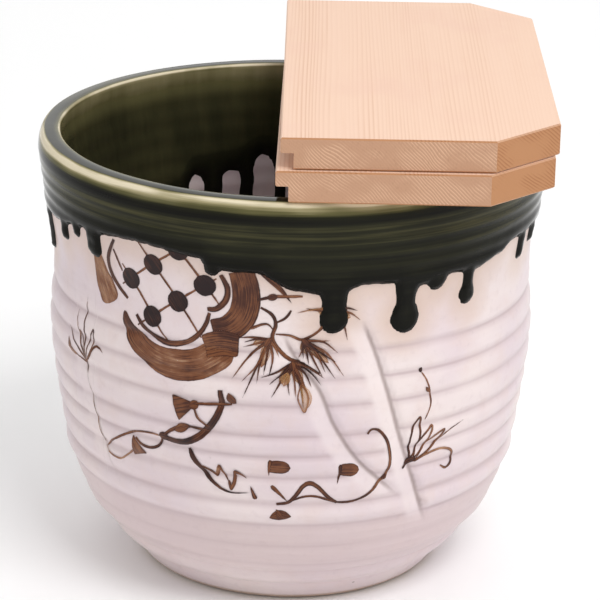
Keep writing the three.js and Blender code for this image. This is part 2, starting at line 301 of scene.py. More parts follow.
@dataclass
class JarForm:
    """The jar's surface as a function of angle and height."""

    # The turned outside: heights above the base with their radii
    rim_top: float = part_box("green_glaze")[1].z
    base_radius: float = 65.6 * MM
    foot_top: float = 19.0 * MM
    foot_flare: float = 0.88
    lip_top: float = 191.0 * MM
    rim_radius: float = 109.8 * MM
    outer: tuple[tuple[float, float], ...] = (
        (foot_top, 79.4 * MM),
        (21.2 * MM, 83.0 * MM),
        (26.0 * MM, 87.6 * MM),
        (31.0 * MM, 91.6 * MM),
        (50.0 * MM, 98.9 * MM),
        (80.0 * MM, 104.6 * MM),
        (112.0 * MM, 107.7 * MM),
        (145.0 * MM, 105.7 * MM),
        (165.0 * MM, 108.2 * MM),
        (lip_top, 111.8 * MM),
    )

    # The hollow, which follows the outside between two heights
    mouth_radius: float = 103.1 * MM
    wall: float = 7.5 * MM
    floor: float = 10.0 * MM
    floor_corner: float = 16.0 * MM
    inner_lip: float = 10.0 * MM
    inner_lip_step: float = 0.8 * MM
    inner_span: tuple[float, float] = (30.0 * MM, 150.0 * MM)
    inner_ripple: float = 0.30 * MM
    inner_pitch: float = 9.0 * MM

    # The throwing rings, with the strong one above the calm bowl and the fine lines between them
    grooves: tuple[float, ...] = tuple(
        height * MM for height in (27.0, 38.5, 50.2, 61.0, 74.3, 84.5, 94.3, 108.4, 119.9, 131.7)
    )
    ring_width: float = 12.0 * MM
    ring_swell: float = 0.72 * MM
    ring_sway: float = 0.7 * MM
    groove_depth: float = 0.86 * MM
    groove_reach: float = 2.3 * MM
    rings_start: float = 8.0 * MM
    rings_end: tuple[float, float] = (144.0 * MM, 160.0 * MM)
    brow_height: float = 55.0 * MM
    brow_swell: float = 0.85 * MM
    brow_width: float = 3.4 * MM
    calm_bowl: float = 0.62
    calm_blend: float = 8.0 * MM
    fine_pitch: float = 3.7 * MM
    fine_swell: float = 0.09 * MM
    fine_sway: float = 1.2 * MM

    # The tool marks: a facet, a step and a burr across, and their lines on the wall
    facet_depth: float = 1.75 * MM
    facet_width: float = 8.6 * MM
    facet_step: float = 2.0 * MM
    facet_calm: float = 0.9
    facet_calm_start: tuple[float, float] = (-1.2, -0.7)
    facet_calm_end: float = 0.5 * MM
    burr_height: float = 0.20 * MM
    burr_aside: float = 3.0 * MM
    burr_width: float = 1.4 * MM
    marks: tuple[ToolMark, ...] = (
        ToolMark(((42 * MM, 38.9), (74 * MM, 31.0), (91.5 * MM, 27.2), (115 * MM, 23.1),
                  (131.5 * MM, 20.3), (147 * MM, 16.9))),
        ToolMark(((59 * MM, 29.6), (71.5 * MM, 22.6), (83 * MM, 16.6), (100 * MM, 10.9),
                  (115.5 * MM, 7.5), (132.5 * MM, 1.1), (142 * MM, -0.9))),
        ToolMark(((56 * MM, -46.0), (66 * MM, -48.5), (98 * MM, -53.5), (122 * MM, -56.5)), 0.5),
    )

    # The green coat: how it stands off the clay, its ridges, its rows of runs inside and its two edges
    coat: float = 1.15 * MM
    coat_root: float = 0.5 * MM
    coat_rise: tuple[float, float] = (-1.2 * MM, 2.0 * MM)
    gather: tuple[float, float] = (2.0 * MM, 10.0 * MM)
    gather_share: float = 0.4
    ridge_pitch: float = 5.8 * MM
    ridge_swell: float = 0.22 * MM
    runs_top: float = 158.0 * MM
    runs_end: float = 86.0 * MM
    runs_rows: int = 42
    outside_edge: GlazeEdge = GlazeEdge(
        (
            (-160, 163 * MM), (-140, 158 * MM), (-115, 164 * MM), (-90, 165 * MM), (-71, 166.5 * MM),
            (-52, 171.5 * MM), (-35, 174 * MM), (-20, 172 * MM), (-15, 167.5 * MM), (-7, 167.5 * MM),
            (2, 160 * MM), (10, 157.5 * MM), (17, 162 * MM), (24, 161.5 * MM), (30, 158.5 * MM),
            (38, 161 * MM), (48, 160 * MM), (55, 162.5 * MM), (61, 166 * MM), (72, 165.5 * MM),
            (90, 163 * MM), (110, 158 * MM), (130, 167 * MM), (155, 160 * MM), (180, 166 * MM),
        ),
        (
            Run(-148, 4.2 * MM, 142 * MM, 4.8 * MM), Run(-128, 3.6 * MM, 148 * MM),
            Run(-104, 3.0 * MM, 153 * MM), Run(-79, 3.4 * MM, 147 * MM), Run(-64, 3.0 * MM, 160 * MM),
            Run(-57, 2.4 * MM, 165 * MM), Run(-50, 4.6 * MM, 160 * MM), Run(-17, 3.0 * MM, 164.5 * MM),
            Run(10.4, 5.1 * MM, 141.5 * MM, 5.3 * MM), Run(27.4, 4.9 * MM, 138.6 * MM, 6.0 * MM),
            Run(35.3, 4.6 * MM, 155.0 * MM), Run(45.0, 3.2 * MM, 145.3 * MM, 3.9 * MM),
            Run(67.0, 2.8 * MM, 154.0 * MM), Run(75.0, 2.6 * MM, 157.0 * MM),
            Run(112, 4.4 * MM, 143 * MM, 5.0 * MM), Run(124, 3.0 * MM, 156 * MM),
            Run(150, 4.0 * MM, 146 * MM), Run(171, 3.4 * MM, 154 * MM),
        ),
    )
    inside_edge: GlazeEdge = GlazeEdge(
        (
            (-178, 152 * MM), (-170.9, 157 * MM), (-162, 150.5 * MM), (-151, 150 * MM), (-145, 140 * MM),
            (-132, 136 * MM), (-108, 147 * MM), (-90, 149 * MM), (-50, 154 * MM), (0, 150 * MM),
            (45, 155 * MM), (90, 149 * MM), (135, 154 * MM),
        ),
        inner_runs(),
        8.0 * MM,
    )

    def ring_count(self, angle: float, height: float) -> float:
        """Counts the grooves up to a height: each whole number lies in a groove.

        Args:
            angle: degrees from the front.
            height: height on the outside.

        Returns:
            The count, which stays half a ring beyond the first and the last groove.
        """
        level = height + self.ring_sway * wall_noise(angle, height, 1.6, 0.02, 7.0)
        grooves = self.grooves
        if level <= grooves[0]:
            return max((level - grooves[0]) / self.ring_width, -0.5)
        for index, (low, high) in enumerate(zip(grooves, grooves[1:])):
            if level <= high:
                return index + (level - low) / (high - low)
        return len(grooves) - 1 + min((level - grooves[-1]) / self.ring_width, 0.5)

    def ring_relief(self, ring: float, angle: float, height: float) -> float:
        """Relief of the throwing rings: soft swells with a narrow groove between them.

        Args:
            ring: the count of grooves there.
            angle: degrees from the front.
            height: height on the outside.

        Returns:
            Metres outwards.
        """
        share = ring % 1.0
        aside = min(share, 1.0 - share) * self.ring_width
        swell = self.ring_swell * (1.0 - abs(2.0 * share - 1.0) ** 2.4)
        groove = self.groove_depth * math.exp(-((aside / self.groove_reach) ** 2))
        strength = 0.85 + 0.5 * wall_noise(angle, height, 1.3, 0.04, 1.0)
        above_bowl = blend_between(self.brow_height - self.calm_blend, self.brow_height, height)
        strength *= 1.0 - self.calm_bowl * (1.0 - above_bowl)
        fade = blend_between(self.foot_top, self.foot_top + self.rings_start, height)
        fade *= 1.0 - blend_between(*self.rings_end, height)
        brow = self.brow_swell * math.exp(-(((height - self.brow_height) / self.brow_width) ** 2))
        waver = height + self.fine_sway * wall_noise(angle, height, 1.9, 0.03, 17.0)
        fine = self.fine_swell * math.sin(2.0 * math.pi * waver / self.fine_pitch)
        fine *= 0.8 + 1.6 * wall_noise(angle, height, 3.1, 0.03, 19.0)
        return ((swell - groove) * strength + brow + fine) * fade

    def mark_relief(self, aside: float) -> float:
        """Relief across a fully cut tool mark: a facet slopes in to the line, and a short step leads out.

        Args:
            aside: metres to the right of the mark's line.

        Returns:
            Metres outwards.
        """
        if aside < 0.0:
            facet = max(1.0 + aside / self.facet_width, 0.0) ** 1.4
        else:
            facet = 1.0 - blend_between(0.0, self.facet_step, aside)
        burr = self.burr_height * math.exp(-(((aside - self.burr_aside) / self.burr_width) ** 2))
        return burr - self.facet_depth * facet

    def wall_at(self, angle: float, height: float) -> WallPoint:
        """The bare outside wall with its rings and tool marks.

        Args:
            angle: degrees from the front.
            height: height above the base.

        Returns:
            The place's radius, its count of grooves and where it lies beside each mark.
        """
        if height < self.foot_top:
            flare = (height / self.foot_top) ** self.foot_flare
            radius = self.base_radius + (self.outer[0][1] - self.base_radius) * flare
        else:
            radius = curve_through(self.outer, height)
        ring = self.ring_count(angle, height)
        relief = self.ring_relief(ring, angle, height)
        calm_from, calm_full = (share * self.facet_width for share in self.facet_calm_start)
        asides = []
        for mark in self.marks:
            aside, cut = mark.reading(angle, height, radius)
            on_facet = blend_between(calm_from, calm_full, aside)
            on_facet *= 1.0 - blend_between(-self.facet_calm_end, self.facet_step, aside)
            relief *= 1.0 - self.facet_calm * cut * on_facet
            relief += cut * self.mark_relief(aside)
            asides.append(held(aside))
        return WallPoint(radius + relief, ring, tuple(asides))

    def inner_radius(self, height: float) -> float:
        """Radius of the inside wall at a height: it follows the outside up to its own lip."""
        low, high = self.inner_span
        top = (self.rim_top - self.inner_lip, self.mouth_radius + self.inner_lip_step)
        stations = tuple((z, r - self.wall) for z, r in self.outer if low < z < high) + (top,)
        ripple = self.inner_ripple * math.sin(2.0 * math.pi * height / self.inner_pitch)
        return curve_through(stations, height) + ripple

    def coat_swell(self, cover: float) -> float:
        """How far the green coat's face stands off the wall, below 0 where it dips into the clay.

        Args:
            cover: how far inside the coat the point is.

        Returns:
            Metres outwards.
        """
        gathered = 1.0 + self.gather_share * (1.0 - blend_between(*self.gather, cover))
        rise = blend_between(*self.coat_rise, cover)
        return (self.coat * gathered + self.coat_root) * rise - self.coat_root


class Value:
    """A shader socket that takes part in sums and products."""

    def __init__(self, tree: "ShaderTree", socket: bpy.types.NodeSocket) -> None:
        """Keeps the tree and the socket."""
        self.tree = tree
        self.socket = socket

    def _math(self, operation: str, *operands: "Value | float") -> "Value":
        """One Math node over the operands."""
        node = self.tree.node("ShaderNodeMath", {"operation": operation}, dict(enumerate(operands)))
        return Value(self.tree, node.outputs[0])

    def __add__(self, other: "Value | float") -> "Value":
        """Sum."""
        return self._math("ADD", self, other)

    def __radd__(self, other: float) -> "Value":
        """Sum, reflected."""
        return self._math("ADD", other, self)

    def __sub__(self, other: "Value | float") -> "Value":
        """Difference."""
        return self._math("SUBTRACT", self, other)

    def __rsub__(self, other: float) -> "Value":
        """Difference, reflected."""
        return self._math("SUBTRACT", other, self)

    def __mul__(self, other: "Value | float") -> "Value":
        """Product."""
        return self._math("MULTIPLY", self, other)

    def smallest(self, other: "Value | float") -> "Value":
        """The smaller of two values."""
        return self._math("MINIMUM", self, other)

    def largest(self, other: "Value | float") -> "Value":
        """The larger of two values."""
        return self._math("MAXIMUM", self, other)

    def size(self) -> "Value":
        """The value without its sign."""
        return self._math("ABSOLUTE", self)

    def fraction(self) -> "Value":
        """What the value has after its whole number."""
        return self._math("FRACT", self)

    def to_nearest_whole(self) -> "Value":
        """How far the value lies from the nearest whole number, from 0 to a half."""
        return self._math("PINGPONG", self, 0.5)

    def line(self, width: float) -> "Value":
        """A soft line where the value is 0, that ends at the given width on both sides."""
        return 1.0 - self.size().step(0.0, width)

    def step(self, low: float, high: float) -> "Value":
        """A smooth step from 0 at low to 1 at high."""
        node = self.tree.node(
            "ShaderNodeMapRange",
            {"interpolation_type": "SMOOTHSTEP"},
            {"Value": self, "From Min": low, "From Max": high, "To Min": 0.0, "To Max": 1.0},
        )
        return Value(self.tree, node.outputs[0])


Colour = tuple[float, float, float, float]


def srgb(red: int, green: int, blue: int) -> Colour:
    """A display colour from 0 to 255 as a linear shader colour.

    Args:
        red: red level.
        green: green level.
        blue: blue level.

    Returns:
        The linear colour with full alpha.
    """
    def linear(level: int) -> float:
        """One channel."""
        share = level / 255.0
        return share / 12.92 if share <= 0.04045 else ((share + 0.055) / 1.055) ** 2.4

    return (linear(red), linear(green), linear(blue), 1.0)


class ShaderTree:
    """A new node material with one Principled shader at its end."""

    def __init__(self, name: str) -> None:
        """Makes the material.

        Args:
            name: the material's name.
        """
        self.material = bpy.data.materials.new(name)
        self.material.use_nodes = True
        self.tree = self.material.node_tree
        self.tree.nodes.clear()
        output = self.tree.nodes.new("ShaderNodeOutputMaterial")
        self.shader = self.tree.nodes.new("ShaderNodeBsdfPrincipled")
        self.tree.links.new(self.shader.outputs[0], output.inputs["Surface"])

    def node(self, kind: str, settings: dict | None = None, inputs: dict | None = None) -> bpy.types.Node:
        """Adds any node.

        Args:
            kind: the node's type.
            settings: its own settings, set first; "stops" fills a colour ramp.
            inputs: values or links of its sockets, by name or place.

        Returns:
            The node.
        """
        made = self.tree.nodes.new(kind)
        for key, value in (settings or {}).items():
            if key == "stops":
                ramp = made.color_ramp
                while len(ramp.elements) < len(value):
                    ramp.elements.new(0.5)
                for element, (position, colour) in zip(ramp.elements, value):
                    element.position, element.color = position, colour
            else:
                setattr(made, key, value)
        for key, value in (inputs or {}).items():
            self.feed(made.inputs[key], value)
        return made

    def feed(self, socket: bpy.types.NodeSocket, value: "Value | float | tuple") -> None:
        """Links a value to a socket, or sets the socket's own value."""
        if isinstance(value, Value):
            self.tree.links.new(value.socket, socket)
        else:
            socket.default_value = value

    def value(self, kind: str, settings: dict | None = None, inputs: dict | None = None,
              output: int | str = 0) -> Value:
        """Adds a node and returns one of its outputs as a value."""
        return Value(self, self.node(kind, settings, inputs).outputs[output])

    def attribute(self, name: str) -> Value:
        """A number that the mesh stores at its points."""
        return self.value("ShaderNodeAttribute", {"attribute_name": name}, output="Fac")

    def place(self) -> Value:
        """Object coordinates in metres."""
        return self.value("ShaderNodeTexCoord", output="Object")

    def part(self, vector: Value, axis: str) -> Value:
        """One component of a vector."""
        return self.value("ShaderNodeSeparateXYZ", {}, {0: vector}, axis)

    def ramp(self, factor: Value, *stops: tuple[float, Colour]) -> Value:
        """A colour read from stops by a factor."""
        return self.value("ShaderNodeValToRGB", {"stops": stops}, {"Fac": factor})

    def mapped(self, scale: tuple[float, float, float],
               turn: tuple[float, float, float] = (0.0, 0.0, 0.0)) -> Value:
        """Object coordinates turned and scaled."""
        inputs = {"Vector": self.place(), "Scale": scale, "Rotation": turn}
        return self.value("ShaderNodeMapping", {}, inputs)

    def noise(self, vector: Value, scale: float, detail: float = 2.0, roughness: float = 0.5) -> Value:
        """Cloudy noise from 0 to 1."""
        inputs = {"Vector": vector, "Scale": scale, "Detail": detail, "Roughness": roughness}
        return self.value("ShaderNodeTexNoise", {}, inputs)

    def mix(self, factor: "Value | float", first: "Value | Colour", second: "Value | Colour",
            mode: str = "MIX") -> Value:
        """Mixes two colours."""
        made = self.node("ShaderNodeMix", {"data_type": "RGBA", "blend_type": mode})
        sockets = {socket.identifier: socket for socket in made.inputs}
        self.feed(sockets["Factor_Float"], factor)
        self.feed(sockets["A_Color"], first)
        self.feed(sockets["B_Color"], second)
        results = {socket.identifier: socket for socket in made.outputs}
        return Value(self, results["Result_Color"])

    def bump(self, height: Value, distance: float, strength: float = 1.0) -> Value:
        """A surface normal from a height."""
        inputs = {"Height": height, "Distance": distance, "Strength": strength}
        return self.value("ShaderNodeBump", {}, inputs)

    def dress(self, **sockets: "Value | float | Colour") -> bpy.types.Material:
        """Feeds the Principled shader and returns the material.

        Args:
            sockets: socket names with underscores for spaces, and their values.

        Returns:
            The material.
        """
        for key, value in sockets.items():
            self.feed(self.shader.inputs[key.replace("_", " ")], value)
        return self.material


@dataclass(frozen=True)
class WhiteGlaze:
    """Milky glaze over pale stoneware, with painted shade in its throwing rings, its tool marks and its
    lower bowl, and a painted highlight on the tool marks' facets.
    """

    milk: Colour = srgb(233, 219, 217)
    lilac: Colour = srgb(220, 203, 208)
    rose: Colour = srgb(222, 200, 194)
    warm: Colour = srgb(212, 186, 170)
    facet_highlight: Colour = srgb(240, 228, 226)
    # painted shade in the grooves of the throwing rings; the glaze's fine random mottle uses the same colour
    valley_shade: Colour = srgb(182, 160, 163)
    # painted shade along the step of each tool mark
    cut: Colour = srgb(146, 122, 118)
    # painted shade on the lower bowl, which faces down
    low: Colour = srgb(210, 190, 190)
    clay: Colour = srgb(190, 164, 146)
    speck: Colour = srgb(122, 96, 82)

    # Lengths across a tool mark, the shares of its facet's width, and heights where the colour changes
    front_fade: float = 20.0 * MM
    cut_shade_aside: float = 0.2 * MM
    cut_shade_width: float = 1.5 * MM
    cut_step: tuple[float, float] = (-0.3 * MM, 1.1 * MM)
    facet_start: tuple[float, float] = (-1.1, -0.7)
    facet_end: tuple[float, float] = (-0.2 * MM, 1.0 * MM)
    bowl_calm: tuple[float, float] = (40.0 * MM, 54.0 * MM)
    bowl_shade_edge: tuple[float, float] = (47.5 * MM, 52.0 * MM)
    bowl_shade_waver: float = 6.0 * MM
    bowl_shade_foot_fade: tuple[float, float] = (12.0 * MM, 32.0 * MM)
    halo: float = 16.0 * MM

    def marks(self, tree: ShaderTree, form: JarForm) -> tuple[Value, Value, Value]:
        """The shaded line in each tool mark, the step beside it and the smooth facet that leads to it.

        Args:
            tree: the material that they belong to.
            form: the jar's form, which holds the marks.

        Returns:
            The line, the step and the facet, each from 0 to 1.
        """
        place = tree.place()
        height = tree.part(place, "Z")
        front = (0.0 - tree.part(place, "Y")).step(0.0, self.front_fade)
        facet_low, facet_high = (share * form.facet_width for share in self.facet_start)
        line, step, facet = front * 0.0, front * 0.0, front * 0.0
        for index, mark in enumerate(form.marks):
            low, high = mark.path[0][0], mark.path[-1][0]
            aside = tree.attribute(f"aside_{index}")
            fade = height.step(low, low + mark.foot_fade) * (1.0 - height.step(high - mark.head_fade, high))
            fade = fade * front * mark.strength
            # Painted shade along the step of each tool mark
            line = line + (aside + self.cut_shade_aside).line(self.cut_shade_width) * fade
            step = step + aside.step(*self.cut_step) * fade
            facet = facet + aside.step(facet_low, facet_high) * (1.0 - aside.step(*self.facet_end)) * fade
        return line.smallest(1.0), step, facet.smallest(1.0)

    def build(self, form: JarForm) -> bpy.types.Material:
        """Makes the material.

        Args:
            form: the jar's form.

        Returns:
            The material.
        """
        tree = ShaderTree("white_glaze")
        place = tree.place()
        height = tree.part(place, "Z")
        cloud = tree.noise(place, 17.0, 3.0)
        mottle = tree.noise(place, 75.0, 4.0, 0.62)
        fine = tree.noise(place, 260.0, 3.0, 0.6)
        brushed = tree.noise(tree.mapped((30.0, 30.0, 620.0)), 1.0, 3.0, 0.6)
        drift = tree.noise(tree.mapped((16.0, 16.0, 45.0)), 1.0, 2.0)
        share = tree.attribute("ring").to_nearest_whole()
        # Painted shade along the grooves of the throwing rings, wiped off the tool marks' facets and weaker
        # on the bowl
        valley_shade = share.line(0.26) * 0.34 + share.line(0.09) * (drift.step(0.3, 0.7) * 0.34)
        line, step, facet = self.marks(tree, form)
        valley_shade = valley_shade * (1.0 - facet * 0.85) * (height.step(*self.bowl_calm) * 0.6 + 0.4)
        white = tree.mix(cloud.step(0.32, 0.68), self.milk, self.lilac)
        white = tree.mix(mottle.step(0.42, 0.72) * 0.35, white, self.rose)
        # Painted shade on the lower bowl, which faces down to the floor; it weakens towards the foot
        low = 1.0 - (height + (drift - 0.5) * self.bowl_shade_waver).step(*self.bowl_shade_edge)
        low = low * (height.step(*self.bowl_shade_foot_fade) * 0.8 + 0.2)
        white = tree.mix(low * 0.75, white, self.low)
        near_coat = tree.attribute("cover").step(-self.halo, 0.0) * (drift * 0.8 + 0.25)
        white = tree.mix(near_coat.smallest(1.0), white, self.warm)
        white = tree.mix(valley_shade, white, self.valley_shade)
        # Painted highlight on the tool marks' facets
        white = tree.mix(facet * 0.35, white, self.facet_highlight)
        # Painted shade in the tool marks' lines
        white = tree.mix(line * 0.62, white, self.cut)
        # A fine random mottle of the glaze's own, in the colour of the painted valley shade
        white = tree.mix((fine - 0.5).step(0.02, 0.3) * 0.16, white, self.valley_shade)
        spots = tree.value("ShaderNodeTexVoronoi", {"feature": "F1"}, {"Vector": place, "Scale": 95.0})
        specks = (1.0 - spots.step(0.03, 0.09)) * tree.noise(place, 40.0).step(0.63, 0.7)
        white = tree.mix(specks * 0.6, white, self.speck)
        white = tree.mix(tree.attribute("foot").step(0.2, 0.9), white, self.clay)
        relief = cloud * 0.6 + mottle * 0.22 + brushed * 0.16 + fine * 0.06 - valley_shade * 0.5 + step * 1.3
        return tree.dress(Base_Color=white, Roughness=0.27 + fine * 0.16,
                          Normal=tree.bump(relief, 0.5 * MM, 0.65), Specular_IOR_Level=0.4)


@dataclass(frozen=True)
class GreenGlaze:
    """Thick dark green glaze that pales where it runs thin, with painted highlights on the lip roll and the
    ridges, painted shade just under the lip and painted light that lightens the inside.
    """

    deep: Colour = srgb(15, 14, 11)
    body: Colour = srgb(38, 38, 25)
    olive: Colour = srgb(96, 92, 60)
    straw: Colour = srgb(160, 150, 114)
    # palest glaze, which also gives the painted highlight on the lip roll
    cream: Colour = srgb(226, 214, 186)
    dark_edge: tuple[float, float] = (0.5 * MM, 10.0 * MM)

    def build(self) -> bpy.types.Material:
        """Makes the material.

        Returns:
            The material.
        """
        tree = ShaderTree("green_glaze")
        place = tree.place()
        inside = tree.attribute("inside")
        thin = tree.attribute("thin")
        edge = tree.attribute("cover").step(*self.dark_edge)
        cloud = tree.noise(place, 30.0, 3.0)
        fine = tree.noise(place, 220.0, 2.0)
        bands = tree.noise(tree.mapped((9.0, 9.0, 480.0)), 1.0, 4.0, 0.6)
        streaks = tree.noise(tree.mapped((150.0, 150.0, 7.0)), 1.0, 4.0, 0.6)
        drag = (bands - 0.5) * (1.0 - inside) * 0.55 + (streaks - 0.5) * inside * 0.10
        pale = thin * (0.7 + cloud * 0.6) + drag * (thin * 1.2 + 0.7)
        colour = tree.ramp(pale * (edge * 0.85 + 0.15), (0.0, self.deep), (0.22, self.body),
                           (0.5, self.olive), (0.75, self.straw), (1.0, self.cream))
        relief = bands * (1.0 - inside) * 0.5 + cloud * 0.8 + fine * 0.04
        return tree.dress(Base_Color=colour, Roughness=0.07 + fine * 0.06,
                          Normal=tree.bump(relief, 0.35 * MM, 0.5), Specular_IOR_Level=0.09)


@dataclass(frozen=True)
class IronPaint:
    """Iron-brown brushwork under the clear glaze."""

    stain: Colour = srgb(190, 140, 88)
    wash: Colour = srgb(134, 84, 54)
    line: Colour = srgb(78, 44, 32)
    dark: Colour = srgb(36, 20, 21)

    def build(self) -> bpy.types.Material:
        """Makes the material.

        Returns:
            The material.
        """
        tree = ShaderTree("iron_paint")
        place = tree.place()
        edge = tree.attribute("edge")
        load = tree.attribute("load")
        grain = tree.noise(place, 420.0, 3.0, 0.65)
        pool = tree.noise(place, 90.0, 2.0)
        lanes = tree.value("ShaderNodeCombineXYZ", {}, {
            0: tree.attribute("run") * 0.07, 1: tree.attribute("lane") * 1.7, 2: 0.0})
        drag = tree.noise(lanes, 1.0, 4.0, 0.62)
        rim = 1.0 - edge.step(0.15, 0.85)
        depth = load * 0.78 + rim * 0.13 + (drag - 0.5) * 1.3 + (pool - 0.5) * 0.90 + (grain - 0.5) * 0.20
        brown = tree.ramp(depth, (0.0, self.stain), (0.28, self.wash), (0.58, self.line), (0.95, self.dark))
        solid = (edge + (grain - 0.5) * 0.45).step(0.02, 0.30)
        veil = (depth * 1.1 + 0.52).smallest(1.0).largest(0.22)
        return tree.dress(Base_Color=brown, Alpha=solid * veil, Roughness=0.30, Specular_IOR_Level=0.22)


@dataclass(frozen=True)
class PaleSoftwood:
    """Planed pale softwood with straight fine grain that runs front to back."""

    early: Colour = srgb(234, 200, 177)
    late: Colour = srgb(214, 170, 140)
    blush: Colour = srgb(229, 190, 170)
    end_early: Colour = srgb(190, 147, 118)
    end_late: Colour = srgb(218, 178, 148)
    end_pore: Colour = srgb(156, 112, 84)
    oblique: Colour = srgb(182, 130, 90)
    oblique_late: Colour = srgb(158, 104, 66)
    ring_width: float = 1.35 * MM
    ring_lean: float = 0.85
    ring_warp: float = 13.0 * MM
    ring_waver: float = 2.6 * MM
    calm_from: float = 50.0 * MM

    def build(self, name: str, lean: float, turn: float) -> bpy.types.Material:
        """Makes the wood of one board.

        Args:
            name: the material's name.
            lean: which way the rings lean in the end grain, 1 or -1.
            turn: the board's own turn about Z in radians.

        Returns:
            The material.
        """
        tree = ShaderTree(name)
        turned = (0.0, 0.0, -turn)
        place = tree.mapped((1.0, 1.0, 1.0), turned)
        x, z = tree.part(place, "X"), tree.part(place, "Z")
        warp = tree.noise(tree.mapped((20.0, 1.3, 20.0), turned), 1.0, 2.0)
        fibre = tree.noise(tree.mapped((820.0, 12.0, 820.0), turned), 1.0, 3.0, 0.6)
        band = tree.noise(tree.mapped((90.0, 1.6, 90.0), turned), 1.0, 3.0)
        blotch = tree.noise(tree.mapped((26.0, 18.0, 26.0), turned), 1.0, 3.0)
        uneven = tree.noise(tree.mapped((110.0, 1.0, 60.0), turned), 1.0, 1.0)
        across = x * 0.8 + z * (self.ring_lean * lean) + warp * self.ring_warp + uneven * self.ring_waver
        phase = (across * (1.0 / self.ring_width)).fraction()
        late = phase.step(0.35, 0.86) * (1.0 - phase.step(0.88, 1.0))
        facing = tree.value("ShaderNodeTexCoord", output="Normal")
        y_face = tree.part(facing, "Y")
        square = y_face * y_face
        end = square.step(0.55, 0.9)
        corner = square.step(0.15, 0.3) * (1.0 - end)
        calm = 1.0 - x.step(self.calm_from, 2.2 * self.calm_from) * 0.8
        face = tree.mix(late * (band.step(0.36, 0.66) * 0.62 + 0.10) * calm, self.early, self.late)
        face = tree.mix(fibre.step(0.52, 0.85) * 0.24, face, self.late)
        face = tree.mix(blotch.step(0.48, 0.75) * 0.5, face, self.blush)
        group = tree.noise(tree.mapped((40.0, 20.0, 60.0), turned), 1.0, 2.0)
        cut = tree.mix(late * (group.step(0.45, 0.60) * 0.85 + 0.08), self.end_early, self.end_late)
        pores = tree.noise(tree.mapped((1500.0, 80.0, 500.0), turned), 1.0, 2.0)
        cut = tree.mix(pores.step(0.52, 0.8) * 0.30, cut, self.end_pore)
        slant = tree.mix(late * group.step(0.45, 0.58) * 0.85, self.oblique, self.oblique_late)
        colour = tree.mix(end, tree.mix(corner, face, slant), cut)
        relief = late * 0.3 + fibre * 0.5
        return tree.dress(Base_Color=colour, Roughness=0.55 + fibre * 0.18, Specular_IOR_Level=0.3,
                          Normal=tree.bump(relief, 0.2 * MM, 0.35))


@dataclass(frozen=True)
class PlainBackdrop:
    """Pale floor that keeps the object's soft shadow."""

    tone: Colour = srgb(255, 255, 255)

    def build(self) -> bpy.types.Material:
        """Makes the material.

        Returns:
            The material.
        """
        return ShaderTree("pale_floor").dress(Base_Color=self.tone, Roughness=0.8, Specular_IOR_Level=0.2)


@dataclass(frozen=True)
class Station:
    """One row of a turned surface; without a radius it follows the wall."""

    height: float
    side: Side = Side.OUTSIDE
    radius: float | None = None
    thin: float = 0.0


def spread(start: float, end: float, count: int, side: Side = Side.OUTSIDE) -> list[Station]:
    """Evenly spaced rows that follow the wall from one height to just short of another.

    Args:
        start: height of the first row.
        end: height that the rows stop one step short of.
        count: how many rows there are.
        side: the wall that they lie on.

    Returns:
        The rows.
    """
    return [Station(start + (end - start) * step / count, side) for step in range(count)]


@dataclass
class SurfacePoint:
    """Where a point of a turned surface lies and what its material reads there."""

    radius: float
    height: float
    values: dict[str, float]


class TurnedPiece:
    """A surface turned about the jar's axis, with relief at each of its points."""

    name = "turned_piece"
    node = "jar_body"
    slot = "white_stoneware"
    layer_names: tuple[str, ...] = ()

    def __init__(self, form: JarForm, columns: int) -> None:
        """Keeps the form.

        Args:
            form: the jar's form.
            columns: how many columns go round the jar.
        """
        self.form = form
        self.columns = columns

    def stations(self) -> list[Station]:
        """The rows of the surface, in order, with the clay on their left."""
        raise NotImplementedError

    def settle(self, station: Station, angle: float) -> SurfacePoint:
        """Finds one point of the surface.

        Args:
            station: its row.
            angle: degrees from the front.

        Returns:
            The point.
        """
        raise NotImplementedError

    def finish(self, mesh: bmesh.types.BMesh, layers: dict[str, object]) -> None:
        """Closes the mesh. By default there is nothing more to do."""

    def build(self) -> bpy.types.Object:
        """Makes the surface.

        Returns:
            Its object.
        """
        rows = self.stations()
        mesh = bmesh.new()
        layers = {name: mesh.verts.layers.float.new(name) for name in self.layer_names}
        spans = len(rows) - 1
        made = bmesh.ops.create_grid(mesh, x_segments=self.columns, y_segments=spans, size=1.0)["verts"]
        for vert in made:
            angle = 180.0 * vert.co.x
            point = self.settle(rows[round((vert.co.y + 1.0) / 2.0 * spans)], angle)
            turn = math.radians(angle)
            vert.co = (point.radius * math.sin(turn), -point.radius * math.cos(turn), point.height)
            for key, value in point.values.items():
                vert[layers[key]] = value
        bmesh.ops.remove_doubles(mesh, verts=mesh.verts, dist=1e-6)
        self.finish(mesh, layers)
        bmesh.ops.recalc_face_normals(mesh, faces=mesh.faces)
        return finish_mesh(mesh, self.name)

    def dress(self, piece: bpy.types.Object, material: bpy.types.Material) -> None:
        """Gives the piece its glaze and puts it in place of its CAD solid.

        Args:
            piece: the object.
            material: the glaze.
        """
        piece.data.materials.append(material)
        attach(piece, "jar")
        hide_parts(self.node)


